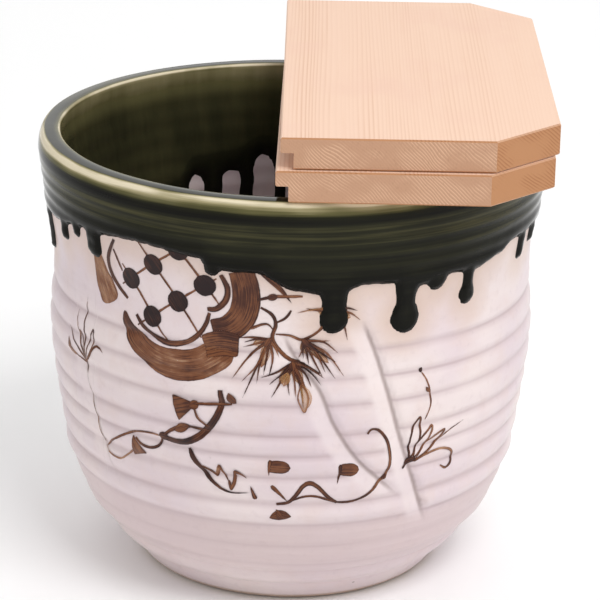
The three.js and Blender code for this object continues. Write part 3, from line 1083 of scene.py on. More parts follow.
class JarSkin(TurnedPiece):
    """The white jar: its foot, its ringed wall, its lip under the coat and its hollow."""

    name = "jar_skin"
    layer_names = ("ring", "cover", "foot", "aside_0", "aside_1", "aside_2")

    # Rounds, edges and the heights where the finish changes
    lip_drop = 0.8 * MM
    base_edge = 0.4 * MM
    foot_round = 1.5 * MM
    clay_end = 4.5 * MM
    mouth_round = 2.0 * MM
    collar_foot = 146.0 * MM
    coat_from = 125.0 * MM

    # Counts of rows, from the base up, over the lip and down the hollow
    base_rows = 4
    foot_rows = 10
    ringed_rows = 104
    collar_rows = 22
    lip_rows = 6
    neck_rows = 14
    low_rows = 12
    corner_rows = 7
    floor_rows = 5

    def stations(self) -> list[Station]:
        """From the middle of the base round to the middle of the floor inside."""
        form = self.form
        flat = form.base_radius - self.foot_round
        rows = [Station(0.0, radius=step / self.base_rows * flat) for step in range(self.base_rows + 1)]
        rows.append(Station(self.base_edge, radius=form.base_radius - self.base_edge))
        rows += spread(self.foot_round, form.foot_top, self.foot_rows)
        for low, high, count in self.bands():
            rows += spread(low, high, count)
        lip, top = form.lip_top, form.rim_top - self.lip_drop
        for step in range(self.lip_rows + 1):
            turn = math.pi / 2 * step / self.lip_rows
            radius = form.rim_radius + (form.outer[-1][1] - form.rim_radius) * math.cos(turn)
            rows.append(Station(lip + (top - lip) * math.sin(turn), radius=radius))
        rows.append(Station(top, Side.INSIDE, form.mouth_radius + self.mouth_round))
        low = form.floor + form.floor_corner
        levels = (top - self.mouth_round, form.runs_top, form.runs_end, low)
        for start, end, count in zip(levels, levels[1:], (self.neck_rows, form.runs_rows, self.low_rows)):
            rows += spread(start, end, count, Side.INSIDE)
        rows.append(Station(low, Side.INSIDE))
        corner = form.inner_radius(low) - form.floor_corner
        for step in range(1, self.corner_rows + 1):
            turn = math.pi / 2 * step / self.corner_rows
            radius = corner + form.floor_corner * math.cos(turn)
            rows.append(Station(low - form.floor_corner * math.sin(turn), Side.INSIDE, radius))
        for step in range(1, self.floor_rows + 1):
            rows.append(Station(form.floor, Side.INSIDE, corner * (1 - step / self.floor_rows)))
        return rows

    def bands(self) -> tuple[tuple[float, float, int], ...]:
        """The outside wall's two runs of evenly spaced rows: lower end, upper end and number of spans."""
        form = self.form
        return ((form.foot_top, self.collar_foot, self.ringed_rows),
                (self.collar_foot, form.lip_top, self.collar_rows))

    def radius_on_mesh(self, angle: float, height: float) -> float:
        """Radius of the meshed outside wall between its four nearest points.

        Args:
            angle: degrees from the front.
            height: height above the base.

        Returns:
            The radius in metres.
        """
        low, high, count = next(band for band in self.bands() if height < band[1])
        row = (height - low) / (high - low) * count
        column = (angle + 180.0) / 360.0 * self.columns
        below, left = math.floor(row), math.floor(column)
        up, along = row - below, column - left
        heights = [low + (high - low) * (below + j) / count for j in (0, 1)]
        angles = [(left + i) * 360.0 / self.columns - 180.0 for i in (0, 1)]
        rows = [[self.form.wall_at(turn, level).radius for turn in angles] for level in heights]
        lower, upper = (near + (far - near) * along for near, far in rows)
        return lower + (upper - lower) * up

    def settle(self, station: Station, angle: float) -> SurfacePoint:
        """Finds one point of the skin."""
        form, height = self.form, station.height
        values = {"ring": -0.5, "cover": -FAR_ASIDE, "foot": 0.0}
        values.update({f"aside_{index}": FAR_ASIDE for index in range(len(form.marks))})
        if station.radius is not None:
            values["foot"] = 1.0 if height < self.foot_round else 0.0
            return SurfacePoint(station.radius, height, values)
        if station.side is Side.INSIDE:
            return SurfacePoint(form.inner_radius(height), height, values)
        wall = form.wall_at(angle, height)
        values["ring"] = wall.ring
        values["foot"] = 1.0 - blend_between(self.foot_round, self.clay_end, height)
        values.update({f"aside_{index}": aside for index, aside in enumerate(wall.asides)})
        if height > self.coat_from:
            values["cover"] = held(form.outside_edge.cover(angle, height, wall.radius))
        return SurfacePoint(wall.radius, height, values)


class GreenCoat(TurnedPiece):
    """The green glaze: a coat over the rim that ends in runs on both sides of the wall."""

    name = "green_coat"
    node = "green_glaze"
    slot = "green_glaze"
    layer_names = ("cover", "thin", "inside")

    # The coat's own thickness and the heights that it spans
    bare_from = -1.5 * MM
    shell = 0.8 * MM
    inside_share = 0.6
    low_end = 134.0 * MM
    gather_end = 176.0 * MM
    neck_drop = 2.4 * MM
    mouth_round = 1.3 * MM

    # Counts of rows, from the lowest run outside to the runs inside
    hanging_rows = 44
    collar_rows = 13
    roll_rows = 11
    neck_rows = 18

    # Heights, and depths inside the coat's edge or under the rim, over which ridges and tones come and go
    ridges_start = (150.0 * MM, 168.0 * MM)
    ridges_end = (184.0 * MM, 190.0 * MM)
    ridge_fade = 4.0 * MM
    ridge_sway = 0.8 * MM
    rim_sway = 0.10 * MM
    paler = (169.0 * MM, 189.0 * MM)
    lip_pool_and_shade = (188.0 * MM, 191.0 * MM)
    thick_edge = 16.0 * MM
    inner_pale = (22.0 * MM, 3.0 * MM)

    # How thin the glaze lies over the rim, from the outside of the roll to the mouth; over the roll the
    # tones also hold a painted highlight across its upper part
    rim_tone = 0.20
    mouth_tones = (0.45, 0.85, 1.0, 0.92, 0.62)
    roll_tones_and_highlight = ((0.0, 0.04), (0.15, 0.10), (0.25, 0.42), (0.40, 0.60), (0.50, 0.92), (0.62, 1.10),
                  (0.75, 1.08), (0.86, 0.90), (0.95, 0.50), (1.0, 0.24))

    def stations(self) -> list[Station]:
        """From below the lowest run outside, over the rim, to below the lowest run inside."""
        form = self.form
        lip, top = form.lip_top, form.rim_top
        rows = spread(self.low_end, self.gather_end, self.hanging_rows)
        rows += spread(self.gather_end, lip, self.collar_rows)
        roll_width = form.outer[-1][1] + form.coat - form.rim_radius
        for step in range(self.roll_rows + 1):
            share = step / self.roll_rows
            turn = math.pi / 2 * share
            radius = form.rim_radius + roll_width * math.cos(turn)
            # The roll's tones hold thin glaze and a painted highlight
            thin = curve_through(self.roll_tones_and_highlight, share)
            rows.append(Station(lip + (top - lip) * math.sin(turn), Side.OUTSIDE, radius, thin))
        rows.append(Station(top, Side.OUTSIDE, (form.rim_radius + form.mouth_radius) / 2, self.rim_tone))
        for step, thin in enumerate(self.mouth_tones):
            turn = math.pi / 2 * step / (len(self.mouth_tones) - 1)
            height = top - self.mouth_round * (1 - math.cos(turn))
            radius = form.mouth_radius + self.mouth_round * (1 - math.sin(turn))
            rows.append(Station(height, Side.INSIDE, radius, thin))
        rows += spread(top - self.neck_drop, form.runs_top, self.neck_rows, Side.INSIDE)
        rows += spread(form.runs_top, form.runs_end, form.runs_rows, Side.INSIDE)
        rows.append(Station(form.runs_end, Side.INSIDE))
        return rows

    def settle(self, station: Station, angle: float) -> SurfacePoint:
        """Finds one point of the coat."""
        form, height = self.form, station.height
        values = {"cover": FAR_ASIDE, "thin": station.thin, "inside": float(station.side.value)}
        if station.radius is not None:
            sway = self.rim_sway * wall_noise(angle, height, 3.0, 0.0, 5.0)
            values["thin"] *= 0.90 + 0.35 * wall_noise(angle, height, 6.0, 0.2, 9.0)
            return SurfacePoint(station.radius, height + sway, values)
        if station.side is Side.INSIDE:
            bare = form.inner_radius(height)
            cover = form.inside_edge.cover(angle, height, bare)
            radius = bare - self.inside_share * form.coat_swell(cover)
            # Painted light: the inside glaze is lightened throughout against the shade inside the jar, and
            # paler still towards the rim
            low, high = (form.rim_top - depth for depth in self.inner_pale)
            near_rim = blend_between(low, high, height)
            values["thin"] = 0.27 + 0.31 * near_rim * near_rim
        else:
            wall = form.wall_at(angle, height)
            cover = form.outside_edge.cover(angle, height, wall.radius)
            swayed = height + self.ridge_sway * wall_noise(angle, height, 1.4, 0.0, 11.0)
            wave = math.sin(2.0 * math.pi * swayed / form.ridge_pitch)
            reach = blend_between(*self.ridges_start, height) * blend_between(0.0, self.ridge_fade, cover)
            reach *= 1.0 - blend_between(*self.ridges_end, height)
            radius = wall.radius + form.coat_swell(cover) + form.ridge_swell * wave * reach
            # The ridges' crests are paler: thin glaze over the ridges, and a painted highlight where the
            # ridges would catch the lamps
            crest_thin_and_highlight = blend_between(0.25, 1.0, wave) * (0.7 + 0.6 * wall_noise(angle, height, 2.2, 0.1, 13.0))
            thinned = 0.115 + 0.145 * blend_between(*self.paler, height) + 0.06 * crest_thin_and_highlight * reach
            # Darker just under the lip: glaze pooled there, and painted shade under the roll
            thinned *= 1.0 - 0.7 * blend_between(*self.lip_pool_and_shade, height)
            values["thin"] = thinned * (0.65 + 0.35 * blend_between(0.0, self.thick_edge, cover))
        values["cover"] = held(cover)
        return SurfacePoint(radius, height, values)

    def finish(self, mesh: bmesh.types.BMesh, layers: dict[str, object]) -> None:
        """Takes away what lies wholly on bare clay and gives the rest its thickness."""
        cover = layers["cover"]
        bare = [face for face in mesh.faces if all(vert[cover] < self.bare_from for vert in face.verts)]
        bmesh.ops.delete(mesh, geom=bare, context="FACES")
        bmesh.ops.solidify(mesh, geom=mesh.faces[:], thickness=self.shell)


def stand(name: str, data: bpy.types.ID) -> bpy.types.Object:
    """Puts a mesh, a lamp or a camera into the scene.

    Args:
        name: the object's name.
        data: what the object holds.

    Returns:
        The object.
    """
    made = bpy.data.objects.new(name, data)
    bpy.context.scene.collection.objects.link(made)
    return made


def finish_mesh(mesh: bmesh.types.BMesh, name: str, smooth: bool = True) -> bpy.types.Object:
    """Turns a bmesh into an object of the scene.

    Args:
        mesh: the bmesh, which is freed.
        name: the object's name.
        smooth: whether its faces shade smoothly.

    Returns:
        The object.
    """
    data = bpy.data.meshes.new(name)
    for face in mesh.faces:
        face.smooth = smooth
    mesh.to_mesh(data)
    mesh.free()
    return stand(name, data)


Places = tuple[tuple[float, float], ...]


def path(*places: tuple[float, float]) -> Places:
    """Points on the unrolled wall from angles and heights.

    Args:
        places: pairs of degrees from the front and millimetres above the base.

    Returns:
        The points in millimetres.
    """
    return tuple((angle * DEGREE_WIDTH, height) for angle, height in places)


@dataclass(frozen=True)
class Stroke:
    """One brush stroke on the unrolled wall: millimetres to the right of the front, and above the base."""

    points: Places
    width: float
    nib: Nib = Nib.EVEN
    load: float = 0.5

    @staticmethod
    def rounded_end(along: float, start: float) -> float:
        """Share of the full width near an end that is rounded off from a share of the length on."""
        return math.sqrt(max(1.0 - (max(along - start, 0.0) / (1.0 - start)) ** 2, 0.0004))

    def half_width(self, along: float) -> float:
        """Half the width at a share of the length.

        Args:
            along: from 0 at the start to 1 at the end.

        Returns:
            Millimetres.
        """
        half = self.width / 2
        bow = math.sin(math.pi * min(max(along, 0.01), 0.99))
        if self.nib is Nib.EVEN:
            return half * (0.55 + 0.45 * bow**0.4)
        if self.nib is Nib.NEEDLE:
            return half * (1.0 - along) ** 0.7 * blend_between(-0.1, 0.12, along) + 0.16
        if self.nib is Nib.LEAF:
            return half * bow**0.7
        if self.nib is Nib.WEDGE:
            return half * (0.10 + 0.90 * along)
        if self.nib is Nib.DOT:
            return half * math.sqrt(max(1.0 - (2 * along - 1) ** 2, 0.0004))
        if self.nib is Nib.SWEEP:
            swell = min((along / 0.55) ** 0.55, 1.0)
            return half * swell * (0.25 + 0.75 * self.rounded_end(along, 0.86)) + 0.1
        if self.nib is Nib.FLAG:
            return half * self.rounded_end(along, 0.58) * (0.86 + 0.14 * bow)
        return half * (0.88 + 0.12 * bow)

    def edge(self, along: float, across: float, length: float) -> float:
        """How far a point of the stroke lies from its edge.

        Args:
            along: share of the length.
            across: from -1 on one side to 1 on the other.
            length: the stroke's length in millimetres.

        Returns:
            Millimetres.
        """
        aside = (1.0 - abs(across)) * self.half_width(along)
        if self.nib in (Nib.WEDGE, Nib.SWEEP, Nib.BLUNT):
            aside = min(aside, (1.0 - along) * length)
        if self.nib in (Nib.BLUNT, Nib.FLAG):
            aside = min(aside, along * length)
        return aside

    def length(self) -> float:
        """Length of the stroke's middle line in millimetres."""
        return sum((self.at((i + 1) / 16) - self.at(i / 16)).length for i in range(16))

    def at(self, along: float) -> Vector:
        """A point of the stroke's middle line, on a smooth curve through its points."""
        count = len(self.points) - 1
        place = min(along * count, count - 1e-6)
        index = int(place)
        t = place - index
        p1, p2 = Vector(self.points[index]), Vector(self.points[index + 1])
        p0 = Vector(self.points[index - 1]) if index else 2 * p1 - p2
        p3 = Vector(self.points[index + 2]) if index + 2 <= count else 2 * p2 - p1
        return 0.5 * (2 * p1 + (p2 - p0) * t + (2 * p0 - 5 * p1 + 4 * p2 - p3) * t**2
                      + (3 * p1 - p0 - 3 * p2 + p3) * t**3)


def tuft(node: tuple[float, float], *tips: tuple[float, float], load: float = 0.6) -> list[Stroke]:
    """A tuft of drooping pine needles over a few pale broad strokes.

    Args:
        node: where the needles grow, as degrees and millimetres.
        tips: the needles' tips in turn, as degrees and millimetres.
        load: how much iron the brush holds.

    Returns:
        The strokes.
    """
    root = Vector(path(node)[0])
    ends = [Vector(tip) for tip in path(*tips)]
    between = [root + ((first + second) / 2 - root) * 0.86 for first, second in zip(ends[::2], ends[1::2])]
    pale = [root + (end - root) * 0.62 for end in ends[1::3]]
    made = [Stroke((tuple(root), tuple(end)), 4.6, Nib.LEAF, 0.06) for end in pale]
    for index, end in enumerate(ends + between):
        way = end - root
        bend = Vector((-way.y, way.x)) * (0.09 * math.sin(2.1 * index + way.length))
        middle = root + way * 0.52 + bend + Vector((0.0, 0.08 * abs(way.x)))
        made.append(Stroke((tuple(root), tuple(middle), tuple(end)), 1.5, Nib.NEEDLE,
                           load + 0.16 * math.sin(2.9 * index)))
    spread = sum(ends, Vector((0.0, 0.0))) / len(ends) - root
    made.append(Stroke((tuple(root - spread * 0.08), tuple(root + spread * 0.26)), 3.2, Nib.LEAF, 0.72))
    return made


def loop(base: tuple[float, float], tip: tuple[float, float], breadth: float, width: float = 1.1,
         load: float = 0.5) -> Stroke:
    """An open petal or blade drawn as one thin loop.

    Args:
        base: where it starts and ends, as degrees and millimetres.
        tip: its tip.
        breadth: its breadth in millimetres.
        width: width of the line.
        load: how much iron the brush holds.

    Returns:
        The stroke.
    """
    low, high = (Vector(point) for point in path(base, tip))
    side = Vector((low.y - high.y, high.x - low.x)).normalized() * breadth / 2
    middle = (low + high) / 2
    points = (low, middle + side, high, middle - side * 0.8, low + (high - low) * 0.06)
    return Stroke(tuple(tuple(point) for point in points), width, Nib.EVEN, load)


@dataclass(frozen=True)
class LatticeRoundel:
    """A roundel of slanting lattice with a spot on each crossing, and broad bands round it."""

    centre: Vector

    # Millimetres on the unrolled wall; the two steps lead from one crossing of the lattice to the next
    radius: float = 25.0
    first: Vector = field(default_factory=lambda: Vector((12.6, 9.2)))
    second: Vector = field(default_factory=lambda: Vector((11.0, -14.6)))
    origin: Vector = field(default_factory=lambda: Vector((4.7, -4.1)))
    line_width: float = 1.35
    line_sag: float = 0.4
    spot_width: float = 9.8
    spot_margin: float = 3.5

    def chord(self, through: Vector, along: Vector) -> Stroke | None:
        """One lattice line, from ring to ring.

        Args:
            through: a point on it, from the roundel's centre.
            along: its direction.

        Returns:
            The stroke, or None where the line misses the ring.
        """
        way = along.normalized()
        foot = through - way * through.dot(way)
        reach = self.radius**2 * 0.94 - foot.length_squared
        if reach < 30.0:
            return None
        half = way * math.sqrt(reach)
        sag = Vector((-way.y, way.x)) * self.line_sag
        ends = (foot - half, foot + sag, foot + half)
        return Stroke(tuple(tuple(self.centre + point) for point in ends), self.line_width, Nib.EVEN, 0.44)

    def strokes(self) -> list[Stroke]:
        """All strokes, the bands first.

        Returns:
            The strokes.
        """
        made = [
            Stroke(path((-50.0, 169), (-48.4, 154.6), (-47.0, 148.4), (-44.9, 141.6)), 12.0, Nib.SWEEP,
                   0.38),
            Stroke(path((-40.6, 140.4), (-39.0, 133.3), (-35.5, 127.3), (-30.5, 123.3), (-25.1, 122.5),
                        (-20.1, 124.4), (-16.0, 129.3), (-13.2, 133.8)), 13.6, Nib.SWEEP, 0.45),
            Stroke(path((-10.3, 168.0), (-9.4, 161.0), (-9.3, 153.8), (-10.4, 146.8), (-13.2, 141.6),
                        (-17.0, 139.4)), 12.4, Nib.BLUNT, 0.62),
            Stroke(path((-19.0, 132.4), (-15.0, 134.6), (-10.8, 134.2)), 11.4, Nib.BLUNT, 0.54),
        ]
        for step in range(-2, 3):
            for line in (self.chord(self.origin + self.second * step, self.first),
                         self.chord(self.origin + self.first * step, self.second)):
                if line:
                    made.append(line)
        made += [
            Stroke(path((-36.9, 140.2), (-34.6, 135.6), (-31.0, 132.0), (-27.0, 130.9), (-23.0, 133.2),
                        (-20.2, 137.6), (-18.6, 142.4), (-17.8, 147.4)), 2.6, Nib.EVEN, 0.74),
            Stroke(path((-14.9, 165.4), (-13.5, 159.8), (-13.9, 154.2), (-16.0, 149.8),
                        (-18.3, 149.0)), 3.0, Nib.EVEN, 0.86),
            Stroke(path((-42.6, 171.6), (-44.6, 164.9), (-45.3, 159.8), (-44.4, 154.4), (-42.2, 149.9),
                        (-39.6, 146.1)), 2.4, Nib.EVEN, 0.80),
            Stroke(path((-43.1, 167.1), (-40.9, 158.0)), 1.4, Nib.EVEN, 0.66),
        ]
        lie = self.second.normalized() * self.spot_width / 2
        for i in range(-2, 3):
            for j in range(-2, 3):
                spot = self.origin + self.first * i + self.second * j
                if spot.length < self.radius - self.spot_margin:
                    ends = (tuple(self.centre + spot - lie), tuple(self.centre + spot + lie))
                    width = self.spot_width + 0.6 * math.sin(2.0 * i + j)
                    made.append(Stroke(ends, width, Nib.DOT, 1.25))
        return made


@dataclass
class Brushwork:
    """The painted grasses, pine, vine, flower and roundel on the front of the jar."""

    skin: JarSkin

    # Metres that the paint stands off the wall, and that each further coat adds
    lift: float = 0.12 * MM
    step_up: float = 0.018 * MM

    # Millimetres on the unrolled wall
    cell: float = 0.85
    clearance: float = 1.2
    spot_step: float = 2.0
    edge_limit: float = 3.0

    def pine(self) -> list[Stroke]:
        """A pine branch with tufts of needles."""
        made = [
            Stroke(path((-6.9, 169), (-4.4, 165.4), (-1.6, 160.6), (0.9, 154.4)), 2.6, Nib.LEAF, 0.74),
            Stroke(path((-6.8, 155.2), (-3.4, 157.1), (-0.8, 157.4), (3.3, 157.6)), 1.8, load=0.64),
            Stroke(path((-4.6, 156.2), (-2.2, 157.6)), 3.4, Nib.DOT, 0.86),
            Stroke(path((-6.0, 152.0), (-3.6, 149.2), (-2.6, 145.0), (-3.3, 138.8), (-1.9, 133.6),
                        (0.7, 129.2), (4.0, 127.3), (7.3, 123.4)), 2.0, load=0.74),
            Stroke(path((-8.4, 142.2), (-4.7, 144.8), (-2.7, 141.2)), 1.5, Nib.NEEDLE, 0.58),
            Stroke(path((0.8, 151.2), (-0.4, 147.8), (-2.6, 145.4)), 1.4, load=0.58),
            Stroke(path((-2.6, 140.4), (0.6, 140.0), (3.6, 138.4), (7.4, 142.6), (10.4, 149.4)), 1.5,
                   load=0.6),
        ]
        made += tuft((-4.0, 138), (-11, 138), (-9.9, 134), (-12.4, 119.3), (-9.7, 111.9), (-6.7, 118.3),
                     (-3.9, 121.9), (-1.7, 130))
        made += tuft((1.2, 127.6), (-5.8, 121.0), (-3.3, 112.9), (0.7, 114.2), (3.9, 106.9), (5.1, 112.1),
                     (7.8, 118.1), (8.5, 121.1), load=0.64)
        made += tuft((3.6, 138.1), (2.6, 130.2), (4.9, 127.7), (8, 122.1), (10.9, 120.9), (12.9, 121.7),
                     (11.6, 131.8), (9.7, 137.8))
        made += tuft((10.6, 149.9), (2, 150.1), (4, 152.2), (6.6, 141.9), (13.6, 137.5), (16.5, 146),
                     (15.8, 150.3), load=0.5)
        made.append(Stroke(path((3.2, 119), (4.6, 112.8), (4.1, 106.8)), 4.6, Nib.LEAF, 0.02))
        made.append(loop((3.2, 119.4), (4.1, 106.4), 4.8, 1.1, 0.34))
        made.append(Stroke(path((0.2, 124), (-0.6, 118)), 4.6, Nib.LEAF, 0.05))
        return made

    def grass(self) -> list[Stroke]:
        """Grasses on the left, with the long stem below them."""
        return [
            Stroke(path((-54.2, 108.8), (-57.4, 113.4), (-60.6, 117.6), (-63.3, 121.5)), 1.3, Nib.NEEDLE,
                   0.42),
            Stroke(path((-54.2, 108.8), (-56.6, 116), (-58.0, 124), (-58.7, 131.1)), 1.3, Nib.NEEDLE, 0.40),
            Stroke(path((-54.0, 108.6), (-54.9, 119), (-55.0, 130), (-54.2, 139)), 1.4, Nib.NEEDLE, 0.44),
            loop((-53.8, 109.2), (-51.1, 126.2), 3.2, 1.0, 0.38),
            loop((-54.2, 108.8), (-57.2, 122.6), 2.8, 1.0, 0.34),
            Stroke(path((-58.2, 110.2), (-61.5, 111.7), (-62.4, 116.6)), 3.4, Nib.LEAF, 0.36),
            Stroke(path((-54.4, 108.6), (-56.6, 109.6), (-58.4, 110.2)), 1.1, load=0.4),
            Stroke(path((-53.2, 111.4), (-50.8, 118.3), (-49.0, 118.8), (-47.4, 117.5)), 1.6, Nib.NEEDLE,
                   0.5),
            Stroke(path((-53.9, 109.0), (-53.7, 104.4)), 1.3, load=0.4),
            Stroke(path((-53.9, 102.8), (-53.1, 96.2), (-52.2, 86.9), (-51.2, 79), (-50, 74)), 0.9,
                   load=0.10),
        ]

    def vine(self) -> list[Stroke]:
        """The upper vine with its hook, and the leaves it carries."""
        return [
            Stroke(path((-48.9, 72.9), (-46.2, 77.1), (-41.5, 82.6), (-37.5, 86.2), (-33, 87.9),
                        (-29.1, 87.6)), 1.4, load=0.28),
            Stroke(path((-49.6, 72.8), (-47, 70.1), (-43.7, 69.8), (-40.8, 73.7), (-38, 78.3)), 1.3,
                   load=0.20),
            Stroke(path((-29.7, 87.0), (-31.0, 82.6), (-33.4, 80.6), (-35.9, 81.0), (-37.9, 83.2)), 1.7,
                   load=0.6),
            Stroke(path((-38.7, 83.6), (-37.0, 75.2)), 9.6, Nib.WEDGE, 0.50),
            Stroke(path((-14.8, 114.4), (-14.6, 108.2), (-15.9, 101.1), (-18.8, 93.6), (-21.9, 89.0),
                        (-25, 86.9), (-28.1, 87.2), (-29.6, 88.4)), 3.5, load=0.86),
            Stroke(path((-30.6, 88.0), (-27.8, 88.2)), 4.4, Nib.DOT, 0.95),
            Stroke(path((-29.0, 88.9), (-27.0, 92.0), (-24.6, 94.2), (-22.4, 94.8)), 2.0, load=0.62),
            Stroke(path((-26.4, 92.0), (-22.6, 95.6)), 4.4, Nib.LEAF, 0.64),
            Stroke(path((-22.6, 94.9), (-17.6, 94.2)), 1.6, load=0.62),
            Stroke(path((-20.9, 106.0), (-26.0, 102.9)), 12.4, Nib.WEDGE, 0.60),
            Stroke(path((-22.4, 105.0), (-19.9, 106.4)), 4.2, Nib.DOT, 0.72),
            Stroke(path((-21.2, 106.3), (-16.2, 107.3), (-12.2, 108.0)), 1.6, load=0.60),
            Stroke(path((-21.0, 104.6), (-20.0, 100.0), (-17.6, 96.4)), 1.5, load=0.55),
            Stroke(path((-12.9, 113.6), (-12.2, 110.4), (-11.2, 108.6)), 4.2, Nib.LEAF, 0.68),
        ]

    def trail(self) -> list[Stroke]:
        """The lower vine with its leaves, its waves and the long curl."""
        return [
            Stroke(path((-22.9, 84.4), (-21.4, 79.5), (-19.8, 75.9), (-18.1, 71.9), (-16.0, 68.4),
                        (-14.0, 66.4), (-12.0, 65.8), (-8.3, 66.6)), 2.7, Nib.NEEDLE, 0.92),
            Stroke(path((-19.6, 77.2), (-17.7, 75.3), (-16.1, 73.1)), 1.5, load=0.42),
            Stroke(path((-16.2, 73.0), (-15.8, 75.9), (-15.4, 79.0)), 2.2, load=0.34),
            Stroke(path((-15.5, 79.0), (-14.6, 75.4), (-13.1, 70.8)), 1.6, Nib.NEEDLE, 0.44),
            Stroke(path((-13.2, 71.8), (-12.7, 67.2)), 1.6, load=0.5),
            Stroke(path((-12.8, 67.2), (-11.9, 71.5), (-11.8, 76.6)), 2.0, load=0.36),
            Stroke(path((-12.0, 76.6), (-10.6, 75.5), (-9.0, 73.3)), 2.0, Nib.NEEDLE, 0.46),
            Stroke(path((-6.9, 63.5), (-7.5, 66.5), (-8.1, 70.0)), 2.4, Nib.NEEDLE, 0.7),
            Stroke(path((-3.8, 80.0), (1.3, 79.7)), 6.4, Nib.FLAG, 0.62),
            Stroke(path((-3.4, 83.0), (-3.7, 79.4), (-3.8, 75.2)), 2.0, Nib.NEEDLE, 0.66),
            Stroke(path((12.7, 78.1), (17.7, 76.7)), 6.4, Nib.FLAG, 0.46),
            Stroke(path((12.9, 80.5), (12.8, 75.4), (12.3, 71.0)), 1.9, Nib.NEEDLE, 0.6),
            Stroke(path((-3.6, 54.7), (-1.2, 56.2), (1.6, 55.7)), 5.2, Nib.LEAF, 0.62),
            Stroke(path((-0.8, 55.8), (-2.1, 58.9)), 3.6, Nib.NEEDLE, 0.6),
            Stroke(path((-3.2, 70.7), (-1.1, 66.6), (0.7, 62.7)), 2.2, Nib.NEEDLE, 0.66),
            Stroke(path((-2.0, 61.3), (0.7, 62.3), (2.5, 65.8), (4.2, 70.5), (5.9, 72.0), (7.7, 70.3),
                        (10.3, 65.1), (12.6, 61.6)), 2.3, load=0.62),
            Stroke(path((1.3, 63.0), (4.3, 65.4), (7.2, 65.6), (10.3, 63.5), (11.9, 62.0)), 1.5, load=0.54),
            Stroke(path((12.4, 61.9), (15.3, 61.5), (18.1, 62.6), (20.8, 65.7), (22.8, 69.6),
                        (24.4, 73.6), (25.1, 78.8), (24.8, 84.9), (23.7, 90.6), (21.7, 95.2),
                        (19.9, 96.2), (19.0, 94.0)), 1.8, load=0.52),
            Stroke(path((23.4, 70.9), (24.4, 73.6)), 2.4, Nib.DOT, 0.85),
        ]

    def flower(self) -> list[Stroke]:
        """The open flower on the right with the stem above it."""
        return [
            loop((30.4, 78.4), (31.9, 98.6), 5.4, 1.4, 0.56),
            loop((30.8, 78.2), (35.8, 93.0), 4.6, 1.4, 0.56),
            loop((31.4, 77.8), (39.4, 89.8), 4.4, 1.4, 0.52),
            Stroke(path((31.6, 77.4), (36.0, 82.4), (40.6, 88.4), (45.4, 91.4)), 1.3, Nib.NEEDLE, 0.55),
            Stroke(path((30.2, 76.8), (34.8, 79.8), (39.2, 80.6), (42.6, 77.8), (43.4, 72.6), (41.6, 70.0),
                        (39.8, 71.8)), 1.6, load=0.34),
            Stroke(path((29.4, 75.6), (31.6, 80.2)), 3.2, Nib.DOT, 0.9),
            Stroke(path((29.0, 74.2), (30.2, 77.0)), 1.8, load=0.8),
            Stroke(path((33.4, 96.8), (34.6, 104), (34.2, 110), (33.0, 115.6), (31.9, 119.2)), 1.1,
                   load=0.26),
            Stroke(path((32.9, 112.4), (34.2, 109.0)), 2.0, Nib.LEAF, 0.44),
            Stroke(path((31.6, 119.0), (31.8, 121.4)), 2.2, Nib.DOT, 0.95),
        ]

    def strokes(self) -> list[Stroke]:
        """Every stroke, in the order of painting.

        Returns:
            The strokes.
        """
        roundel = LatticeRoundel(Vector(path((-28.1, 154.5))[0]))
        return roundel.strokes() + self.pine() + self.grass() + self.vine() + self.trail() + self.flower()

    def levels(self, strokes: list[Stroke]) -> list[int]:
        """Counts the coats of paint under each stroke, so that paint over paint stands clear of it.

        Args:
            strokes: every stroke in the order of painting.

        Returns:
            The count for each stroke.
        """
        spots = []
        for stroke in strokes:
            count = max(4, int(stroke.length() / self.spot_step))
            spots.append([stroke.at(index / count) for index in range(count + 1)])
        levels: list[int] = []
        for index, stroke in enumerate(strokes):
            under = [0]
            for other, level in enumerate(levels):
                near = (stroke.width + strokes[other].width) / 2 + self.clearance
                if any((a - b).length < near for a in spots[index] for b in spots[other]):
                    under.append(level + 1)
            levels.append(max(under))
        return levels

    def lay(self, mesh: bmesh.types.BMesh, stroke: Stroke, order: int, level: int,
            layers: dict[str, object]) -> None:
        """Lays one stroke on the wall as a fine ribbon.

        Args:
            mesh: the mesh that all strokes share.
            stroke: the stroke.
            order: its place in the order of painting.
            level: how many coats of paint lie under it.
            layers: the point layers of the mesh by name.
        """
        length = stroke.length()
        spans = max(6, int(length / self.cell))
        lanes = max(4, int(stroke.width / self.cell) + 2)
        made = bmesh.ops.create_grid(mesh, x_segments=spans, y_segments=lanes, size=1.0)["verts"]
        for vert in made:
            along, across = (vert.co.x + 1) / 2, vert.co.y
            ahead = stroke.at(min(along + 0.01, 1.0)) - stroke.at(max(along - 0.01, 0.0))
            side = Vector((-ahead.y, ahead.x)).normalized()
            reach = across * stroke.half_width(along)
            point = stroke.at(along) + side * reach
            angle, height = point.x / DEGREE_WIDTH, point.y * MM
            radius = self.skin.radius_on_mesh(angle, height) + self.lift + self.step_up * level
            turn = math.radians(angle)
            vert.co = Vector((radius * math.sin(turn), -radius * math.cos(turn), height))
            vert[layers["edge"]] = min(stroke.edge(along, across, length), self.edge_limit)
            vert[layers["load"]] = stroke.load + 0.10 * math.sin(3.1 * along + stroke.width) * (1 - along)
            vert[layers["run"]] = along * length + 41.0 * order
            vert[layers["lane"]] = reach

